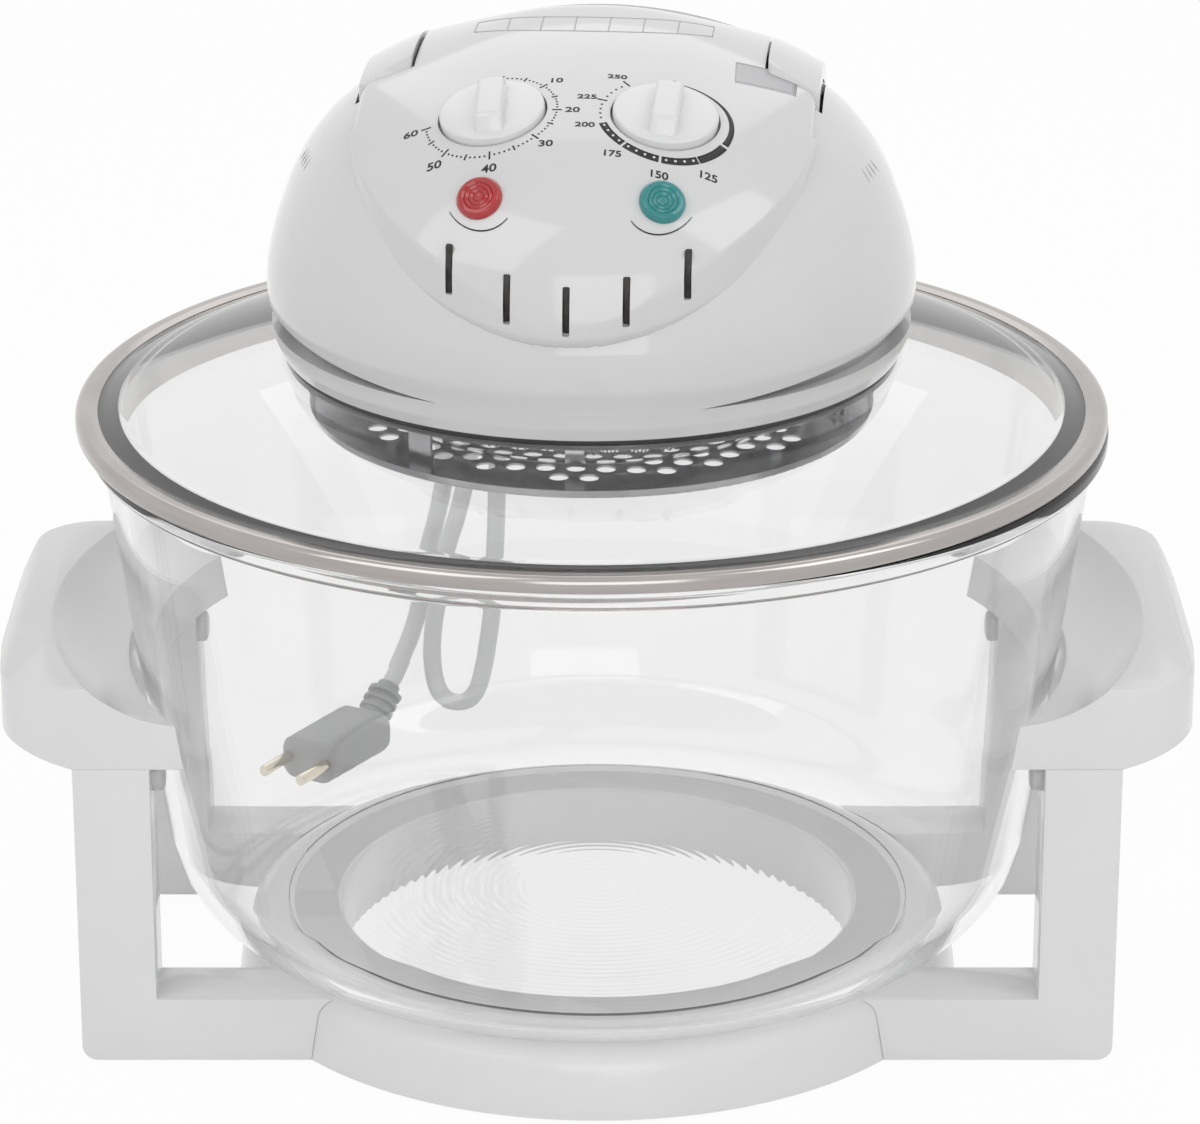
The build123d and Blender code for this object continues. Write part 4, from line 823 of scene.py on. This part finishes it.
    def brow_point(self, x: float, turn: float) -> tuple[Vector, Vector]:
        """Point on the brow, with its direction."""
        centre_r, centre_z = self.brow_centre()
        angle = math.radians(turn)
        radius = centre_r + self.brow_r * math.cos(angle)
        y = -math.sqrt(radius**2 - x**2)
        place = Vector((x, self.sweep_y + y, centre_z + self.brow_r * math.sin(angle)))
        return place, Vector((x * math.cos(angle) / radius, y * math.cos(angle) / radius, math.sin(angle)))

    def lamp_frame(self, side: int) -> Matrix:
        """Frame on the brow at a lamp."""
        place, up = self.brow_point(side * self.lamp_x, self.lamp_turn)
        level = up.cross(Vector((0, 0, 1))).normalized() * -1
        turn = Matrix((level, up.cross(level), up)).transposed().to_4x4()
        return Matrix.Translation(place * MM) @ turn

    def slot_place(self, index: int) -> tuple[float, float, float]:
        """Side distance, surface depth and lowest height of one slot."""
        x, low = index * self.slot_pitch, self.slot_low + self.slot_steps[abs(index)]
        middle = low + self.slot_height / 2 - self.nose_z
        reach = self.nose_reach - self.nose_r + math.sqrt(self.nose_r**2 - middle**2)
        return x, self.sweep_y - math.sqrt(reach**2 - x**2), low

    # -- pieces
    def cutters(self) -> bpy.types.Object:
        """Join every shape that is cut out of the panel."""
        shapes = []
        for side in (-1, 1):
            bpy.ops.mesh.primitive_cylinder_add(vertices=96, radius=self.well_r * MM, depth=20 * MM)
            frame_at = self.knob_frame(side) @ Matrix.Translation((0, 0, (10 - self.well_depth) * MM))
            shapes.append(settle(started("well"), frame_at))
            bpy.ops.mesh.primitive_cylinder_add(vertices=120, radius=self.notch_r * MM, depth=30 * MM)
            roll = Matrix.Rotation(math.radians(90), 4, "Y")
            middle = Vector((side * (self.notch_x + 15), *self.pivot)) * MM
            shapes.append(settle(started("notch"), Matrix.Translation(middle) @ roll))
            bpy.ops.mesh.primitive_cube_add(size=1.0)
            block = started("notch_block")
            block.scale = (30 * MM, 120 * MM, 100 * MM)
            middle = Vector((side * (self.notch_x + 15), self.pivot[0] + 60, self.pivot[1])) * MM
            shapes.append(settle(block, Matrix.Translation(middle)))
        for index in range(-2, 3):
            x, y, low = self.slot_place(index)
            half = self.slot_width / 2
            shapes.append(bar("slot", (x - half, y - 9, low), (x + half, y + 6, low + self.slot_height), 0.5, 2))
        return joined("panel_cutters", shapes)

    def panel(self) -> None:
        """Cut the wells, slots and notches into the panel, dress it, and set near-black plates of painted shade
        inside the slots.
        """
        skin = self.skin()
        cutter = self.cutters()
        with editing(cutter):
            bpy.ops.mesh.normals_make_consistent(inside=False)
        apply(skin, "BOOLEAN", object=cutter, operation="DIFFERENCE", solver="EXACT", use_self=True)
        bpy.data.objects.remove(cutter)
        smooth(skin, 38.0)
        dress(settle(started_as(skin, "control_panel_shell"), LID_POSE), Look.PANEL, "lid", "panel_plastic",
              "control_panel")
        # Near-black plates a little below each slot's mouth: painted shade of the slot's inside, which is white
        # plastic in shadow.
        slot_shade_plates = []
        for index in range(-2, 3):
            x, y, low = self.slot_place(index)
            half = self.slot_width / 2 - 0.05
            high = low + self.slot_height - 0.1
            slot_shade_plates.append(bar("painted_shade_bar", (x - half, y + 1.6, low + 0.1), (x + half, y + 5.9, high), 0.2, 1))
        dress(settle(joined("slot_painted_shade", slot_shade_plates), LID_POSE), Look.GROOVE, "lid", "unit_plastic")

    def knob(self, side: int, name: str, node: str, body: str) -> None:
        """Make one knob: a shallow disc with a raised grip across it."""
        disc = turned("disc", rounded((0, -6.2), (self.knob_r, -6.2), (self.knob_r, 0.3, 0.9), (6.0, 1.3, 3.0),
                                      (0, 1.3), steps=5), 96, 40.0)
        bpy.ops.mesh.primitive_cube_add(size=1.0)
        grip = started("grip")
        grip.scale = (9.8 * MM, 31.6 * MM, 9.0 * MM)
        grip.location = (0, 0, 1.0 * MM)
        settle(grip)
        with editing(grip, select=False) as mesh:
            bpy.ops.mesh.select_mode(type="FACE")
            bpy.ops.object.mode_set(mode="OBJECT")
            for face in mesh.polygons:
                face.select = face.normal.z > 0.9
            bpy.ops.object.mode_set(mode="EDIT")
            bpy.ops.transform.resize(value=(0.86, 0.66, 1.0))
            bpy.ops.mesh.select_all(action="SELECT")
            bpy.ops.mesh.bevel(offset=1.3 * MM, segments=4, profile=0.5, affect="EDGES")
        smooth(grip, 60.0)
        piece = settle(joined(name, [disc, grip]), LID_POSE @ self.knob_frame(side))
        dress(piece, Look.KNOB, body, "knob_plastic", node)

    def lamp(self, side: int, name: str, node: str, look: Look, slot: str) -> None:
        """Make one jewel lamp with rings pressed in its lens."""
        lens = turned(name, rounded((0, -5.5), (5.4, -5.5), (5.4, -0.4), (7.2, -0.4), (7.2, 0.7, 0.4),
                                    (6.3, 2.0, 0.7), (5.2, 2.3, 0.3), (4.5, 1.7), (3.9, 2.2, 0.2), (3.1, 1.5), (2.5, 1.95, 0.2),
                                    (1.7, 1.25), (1.1, 1.6, 0.2), (0, 0.9), steps=3), 48, 30.0)
        dress(settle(lens, LID_POSE @ self.lamp_frame(side)), look, "lid", slot, node)

    def build(self) -> None:
        """Make the panel, its knobs, lamps and marks."""
        self.panel()
        self.knob(-1, "timer_dial_knob", "timer_knob", "timer")
        self.knob(1, "thermostat_dial_knob", "thermostat_knob", "thermostat")
        self.lamp(-1, "red_jewel_lamp", "power_lamp_lens", Look.RED, "red_lens")
        self.lamp(1, "teal_jewel_lamp", "heat_lamp_lens", Look.TEAL, "green_lens")
        PanelMarks(self).build()


@dataclass
class PanelMarks:
    """Printed marks on the control panel."""

    pod: ControlPod
    lift: float = 0.05
    thick: float = 0.12
    arc_r: float = 10.6
    arc_half: float = 0.22
    dial_lean: float = 1.045
    cells: int = 7
    cell_row: Point2 = (76.0, 13.6)
    cell_y: float = -1.2
    cell_bow: float = 0.0064

    def dot(self, u: float, v: float, radius: float, corners: int = 10) -> bpy.types.Object:
        """Add a round dot, flat."""
        bpy.ops.mesh.primitive_circle_add(vertices=corners, radius=radius * MM, fill_type="NGON",
                                          location=(u * MM, v * MM, 0))
        return settle(started("dot"))

    def sweep(self, inner: Callable[[float], float], outer: Callable[[float], float], start: float, end: float,
              steps: int) -> bpy.types.Object:
        """Add a flat band between two radii, from one angle to another, in degrees."""
        def place(across: float, along: float) -> Point3:
            """Point of the band."""
            turn = math.radians(start + (end - start) * along)
            radius = inner(along) + (outer(along) - inner(along)) * across
            return (radius * math.cos(turn), radius * math.sin(turn), 0)
        return draped("band", 1, steps, place)

    def tick(self, turn: float, inner: float, outer: float, width: float) -> bpy.types.Object:
        """Add a short flat line across a dial's ring."""
        angle = math.radians(turn)
        along, square = Vector((math.cos(angle), math.sin(angle), 0)), Vector((-math.sin(angle), math.cos(angle), 0))
        return draped("tick", 1, 2, lambda across, far: tuple(
            along * (inner + (outer - inner) * far) + square * width * (across - 0.5)))

    def number(self, value: int, turn: float, radius: float, size: float) -> bpy.types.Object:
        """Add a plain number beside a dial."""
        deselect()
        bpy.ops.object.text_add()
        piece = bpy.context.view_layer.objects.active
        piece.data.body = str(value)
        piece.data.size = size * MM
        piece.data.offset = 0.00006
        piece.data.align_x, piece.data.align_y = "CENTER", "CENTER"
        piece.location = (radius * math.cos(math.radians(turn)) * MM, radius * math.sin(math.radians(turn)) * MM, 0)
        piece.scale = (1.25, 1.0, 1.0)
        bpy.ops.object.convert(target="MESH")
        piece = settle(started("number"))
        with editing(piece):
            bpy.ops.mesh.remove_doubles(threshold=0.00002)
        return piece

    def lay(self, name: str, shapes: Sequence[bpy.types.Object], spot: Callable[[float, float], Vector],
            look: Look) -> None:
        """Bend flat marks onto the panel and give them a thin body."""
        piece = joined(name, shapes)
        for vertex in piece.data.vertices:
            vertex.co = spot(vertex.co.x / MM, vertex.co.y / MM) * MM
        apply(piece, "SOLIDIFY", thickness=self.thick * MM, offset=0.0)
        dress(settle(piece, LID_POSE), look, "lid", "panel_plastic")

    def on_dial(self, side: int) -> Callable[[float, float], Vector]:
        """Give the place on the panel for a point of a dial's plane."""
        x0, y0 = side * self.pod.knob_at[0], self.pod.knob_at[1]

        def spot(u: float, v: float) -> Vector:
            """Point on the panel."""
            x, y = x0 + u, y0 + v / self.dial_lean
            return Vector((x, y, self.pod.height(x, y) + self.lift))
        return spot

    def timer(self) -> None:
        """Mark the minutes: a dot each, a tick every five and a number every ten."""
        radius, shapes = self.pod.dial_r, []
        for minute in range(61):
            turn = 85.0 - 4.3 * minute
            if minute % 5:
                angle = math.radians(turn)
                shapes.append(self.dot(radius * math.cos(angle), radius * math.sin(angle), 0.34, 8))
            else:
                reach = 1.5 if minute % 10 == 0 else 1.0
                shapes.append(self.tick(turn, radius - reach, radius + reach, 0.5))
            if minute % 10 == 0 and minute:
                shapes.append(self.number(minute, turn, radius + 4.8, 3.7))
        self.lay("timer_marks", shapes, self.on_dial(-1), Look.MARK)

    def thermostat(self) -> None:
        """Mark the heats: a swelling line, dark bands, dots and numbers."""
        radius, turn_of = self.pod.dial_r, lambda heat: -57.0 - (heat - 125) * 1.39
        shapes = [self.dot(radius * math.cos(1.5), radius * math.sin(1.5), 1.5, 24)]
        shapes.append(self.sweep(lambda far: radius - 0.1 - 0.9 * far, lambda far: radius + 0.1 + 0.9 * far,
                                 79, -23, 48))
        pale = []
        bands = ((-26, turn_of(125)), *((turn_of(heat) - 1.2, turn_of(heat + 25) + 1.2) for heat in (125, 150, 175)))
        for index, (start, end) in enumerate(bands):
            shapes.append(self.sweep(lambda far: radius - 1.25, lambda far: radius + 1.25, start, end, 16))
            for step in range(4 if index else 0):
                angle = math.radians(start + (end - start) * (step + 0.5) / 4)
                pale.append(self.dot(radius * math.cos(angle), radius * math.sin(angle), 0.42, 10))
        for heat in (200, 225):
            for step in range(1, 5):
                angle = math.radians(turn_of(heat + 5 * step))
                shapes.append(self.dot(radius * math.cos(angle), radius * math.sin(angle), 0.38, 8))
        for heat in (225, 250):
            shapes.append(self.tick(turn_of(heat), radius - 1.0, radius + 2.4, 0.5))
        for heat in range(125, 251, 25):
            shapes.append(self.number(heat, turn_of(heat), radius + 5.6, 3.3))
        spot = self.on_dial(1)
        self.lay("thermostat_marks", shapes, spot, Look.MARK)
        self.lay("thermostat_pale_dots", pale, lambda u, v: spot(u, v) + Vector((0, 0, 0.1)), Look.PALE_MARK)

    def lamp_arcs(self) -> None:
        """Draw a thin arc under each lamp."""
        for side, name in ((-1, "red_lamp_arc"), (1, "teal_lamp_arc")):
            shape = self.sweep(lambda far: self.arc_r - self.arc_half * math.sin(math.pi * far),
                               lambda far: self.arc_r + self.arc_half, -148, -32, 32)

            def spot(u: float, v: float) -> Vector:
                """Point on the brow."""
                turn = self.pod.lamp_turn + math.degrees(v / self.pod.brow_r)
                if turn >= self.pod.nose_turn:
                    place, up = self.pod.brow_point(side * self.pod.lamp_x + u, turn)
                    return place + up * self.lift
                over = math.radians(self.pod.nose_turn - turn) * self.pod.brow_r / self.pod.nose_r
                angle = math.radians(self.pod.nose_turn) - over
                x = side * self.pod.lamp_x + u
                reach = self.pod.nose_reach - self.pod.nose_r + self.pod.nose_r * math.cos(angle) + self.lift
                height = self.pod.nose_z + self.pod.nose_r * math.sin(angle)
                return Vector((x, self.pod.sweep_y - math.sqrt(reach**2 - x**2), height))
            self.lay(name, [shape], spot, Look.MARK)

    def plates(self) -> None:
        """Draw the bare row of cells on the crown and the bare silver plate beside the handle."""
        lines = []
        width, tall = self.cell_row
        for cell in range(self.cells + 1):
            x = -width / 2 + width * cell / self.cells
            lines.append(draped("cell", 1, 6, lambda across, far: (x + 0.35 * (across - 0.5), tall * far, 0)))
        for v in (0.0, tall):
            lines.append(draped("cell_row", 40, 1, lambda across, far: (
                76.2 * (across - 0.5), v + 0.5 * (far - 0.5), 0)))

        def spot(u: float, v: float) -> Vector:
            """Point on the bowed row."""
            y = self.cell_y + self.cell_bow * u * u + v
            return Vector((u, y, self.pod.height(u, y) + self.lift))
        self.lay("cell_row_lines", lines, spot, Look.PLATE)
        corners = ((46.4, -8.9), (65.9, -4.4), (65.9, -21.0), (46.8, -23.9))
        plate = draped("plate", 12, 10, lambda across, far: tuple(
            (1 - across) * ((1 - far) * left + far * top) + across * ((1 - far) * right + far * high)
            for left, top, right, high in zip(corners[3], corners[0], corners[2], corners[1])) + (0,))
        self.lay("blank_silver_plate", [plate], lambda u, v: Vector((u, v, self.pod.height(u, v) + self.lift)),
                 Look.PLATE)

    def build(self) -> None:
        """Lay every mark."""
        self.timer()
        self.thermostat()
        self.lamp_arcs()
        self.plates()


# ---- heater and what the head holds ------------------------------------------------------------
@dataclass
class Heater:
    """The heater under the lid, with the motor, fans and wiring above it."""

    ring_r: float = 66.0
    tube_z: float = 204.5
    gap: float = 26.0
    coil_r: float = 1.5
    coil_pitch: float = 2.4
    wire_r: float = 0.28
    coil_points: int = 9

    def filament(self) -> bpy.types.Object:
        """Wind the filament round the inside of the tube."""
        span = 360.0 - 2 * self.gap
        turns = int(math.radians(span) * self.ring_r / self.coil_pitch)
        curve = bpy.data.curves.new("filament_coil", "CURVE")
        curve.dimensions = "3D"
        spline = curve.splines.new("POLY")
        steps = turns * self.coil_points
        spline.points.add(steps)
        for step, knot in enumerate(spline.points):
            along = math.radians(90 + self.gap + span * step / steps)
            roll = 2 * math.pi * step / self.coil_points
            reach = self.ring_r + self.coil_r * math.cos(roll)
            knot.co = (reach * math.cos(along) * MM, reach * math.sin(along) * MM,
                       (self.tube_z + self.coil_r * math.sin(roll)) * MM, 1.0)
        curve.bevel_depth = self.wire_r * MM
        curve.bevel_resolution = 0
        piece = bpy.data.objects.new("filament_coil", curve)
        bpy.context.scene.collection.objects.link(piece)
        focus(piece)
        bpy.ops.object.convert(target="MESH")
        return settle(started("filament_coil"), LID_POSE)

    def build(self) -> None:
        """Dress the heater's parts and wind its filament."""
        dress(self.filament(), Look.FILAMENT, "lid", "filament_wire", "lamp_filament")
        finished(Look.GUARD, "heater_guard", "guard_straps")
        finished(Look.SHIELD, "heat_shield", "clamp_ring")
        finished(Look.QUARTZ, "halogen_tube")
        finished(Look.CERAMIC, "tube_end_caps", "terminal_block")
        finished(Look.STEEL, "tube_clips", "guard_screws", "clamp_screws", "motor_screws", "motor_bracket", "fan_nut",
                 "fan_shaft", "timer_shaft", "thermostat_shaft", "convection_fan")
        finished(Look.WOOL, "insulation_pad")
        finished(Look.MOTOR, "fan_motor")
        finished(Look.MOULDING, "cooling_fan", "timer_unit", "thermostat_unit", "safety_switch")
        finished(Look.NEON, "neon_lamps")
        finished(Look.LEAD, "inner_leads")


# ---- stand ------------------------------------------------------------------------------------
@dataclass
class Stand:
    """The moulded stand: ring, leg frames, side handles, feet and bumpers."""

    pieces: tuple[tuple[str, str, float], ...] = (
        ("stand_ring", "base_ring", 0.8), ("leg_frame_right", "right_leg_frame", 1.6),
        ("leg_frame_left", "left_leg_frame", 1.6), ("side_handle_right", "right_side_handle", 1.4),
        ("side_handle_left", "left_side_handle", 1.4))

    def build(self) -> None:
        """Soften and dress each moulding."""
        for name, node, bevel in self.pieces:
            dress(merged(name, node, 40.0, bevel=bevel, parts=3), Look.STAND, "stand", "stand_plastic", node)
        finished(Look.RUBBER, "rubber_feet")
        finished(Look.BUMPER, "bowl_bumpers")
        finished(Look.STEEL, "handle_screws")


# ---- mains lead -------------------------------------------------------------------------------
@dataclass
class MainsLead:
    """The lead from the back of the head, folded and tied, with its plug on the table."""

    diameter: float = 7.0
    start: Point3 = (6.654, 116.486, 248.0)
    drop: tuple[Point3, ...] = (
        (6.654, 116.486, 248.0), (8.148, 136.83, 248.0), (5.0, 158.0, 242.0), (-8.0, 176.0, 231.0),
        (-24.0, 188.0, 217.0), (-37.0, 189.0, 199.0))
    first_run: tuple[Point3, ...] = (
        (-38.0, 187.0, 182.0), (-38.0, 187.0, 164.0), (-37.0, 188.5, 142.0), (-37.5, 189.5, 118.0))
    loop: tuple[Point3, ...] = (
        (-38.2, 192.0, 101.0), (-38.6, 192.0, 76.0), (-40.0, 192.0, 52.0), (-43.5, 192.0, 30.0),
        (-47.5, 192.0, 16.5), (-59.0, 192.3, 16.5), (-63.5, 192.6, 31.0), (-62.5, 193.0, 50.0),
        (-58.5, 193.5, 67.0), (-53.0, 193.5, 83.0), (-49.0, 192.8, 101.0))
    turns: tuple[Point3, ...] = (
        (-48.0, 193.2, 122.0), (-46.5, 196.5, 144.0), (-43.5, 202.0, 164.0), (-38.5, 206.0, 180.0),
        (-40.5, 206.4, 195.0), (-48.0, 206.4, 199.4), (-57.5, 206.4, 195.0), (-63.5, 206.4, 178.0),
        (-63.5, 206.4, 150.0), (-63.5, 206.4, 124.0), (-58.0, 206.4, 106.0), (-48.0, 206.4, 101.6),
        (-38.0, 205.6, 106.0), (-32.6, 203.5, 124.0), (-32.6, 201.0, 150.0), (-33.6, 199.8, 178.0),
        (-38.5, 199.3, 195.0), (-48.0, 199.3, 199.4), (-57.5, 199.3, 195.0), (-63.5, 199.3, 176.0),
        (-63.5, 199.3, 150.0), (-62.5, 199.3, 128.0), (-60.0, 199.0, 112.0))
    tail: tuple[Point3, ...] = (
        (-58.0, 198.3, 98.0), (-61.0, 204.0, 80.0), (-66.5, 211.0, 58.5), (-71.25, 213.085, 35.997),
        (-80.181, 198.793, 21.856))

    def lead(self) -> bpy.types.Object:
        """Draw the lead as one smooth line.

        Returns:
            The curve.
        """
        points = self.drop + self.first_run + self.loop + self.turns + self.tail
        curve = bpy.data.curves.new("mains_lead_line", "CURVE")
        curve.dimensions = "3D"
        spline = curve.splines.new("NURBS")
        spline.points.add(len(points) - 1)
        for knot, point in zip(spline.points, points):
            knot.co = (*(Vector(point) * MM), 1.0)
            knot.radius = self.diameter / 2 * MM
        spline.order_u = 3
        spline.use_endpoint_u = True
        spline.resolution_u = 6
        curve.bevel_depth = 1.0
        curve.bevel_resolution = 4
        curve.use_fill_caps = True
        piece = bpy.data.objects.new("mains_lead_line", curve)
        bpy.context.scene.collection.objects.link(piece)
        return piece

    @staticmethod
    def length(piece: bpy.types.Object) -> float:
        """Measure a curve's centreline in metres."""
        depth, piece.data.bevel_depth = piece.data.bevel_depth, 0.0
        line = bpy.data.meshes.new_from_object(piece)
        piece.data.bevel_depth = depth
        spots = [vertex.co.copy() for vertex in line.vertices]
        bpy.data.meshes.remove(line)
        return sum((after - before).length for before, after in zip(spots, spots[1:]))

    def build(self) -> None:
        """Make the lead, its tie and its plug."""
        lead = self.lead()
        plug = dress(merged("plug_moulding", "plug_body", bevel=0.6), Look.PLUG, "lid", "plug_plastic", "plug_body")
        relief = dress(merged("plug_relief", "plug_strain_relief", bevel=0.2), Look.PLUG, "lid", "plug_rubber",
                       "plug_strain_relief")
        pins = dress(merged("plug_pin_pair", "plug_pins", bevel=0.5), Look.PIN, "lid", "pin_brass", "plug_pins")
        tie = dress(merged("hank_tie_strip", "hank_tie", bevel=0.2), Look.TIE, "lid", "tie_plastic", "hank_tie")
        dress(lead, Look.CORD, "lid", "cord_sheath", "mains_lead", "cord_hank", "lead_loop", "plug_lead")
        round(self.length(lead), 3)


def main() -> None:
    """Build the studio and every sub-assembly."""
    logging.basicConfig(level=logging.INFO)
    Studio().build()
    for part in (MainsLead(), Bowl(), LidPlate(), HeadShell(), ControlPod(), Heater(), Stand()):
        part.build()
        LOG.info("%s built", type(part).__name__)
    bpy.context.view_layer.update()


if __name__ == "__main__":
    main()
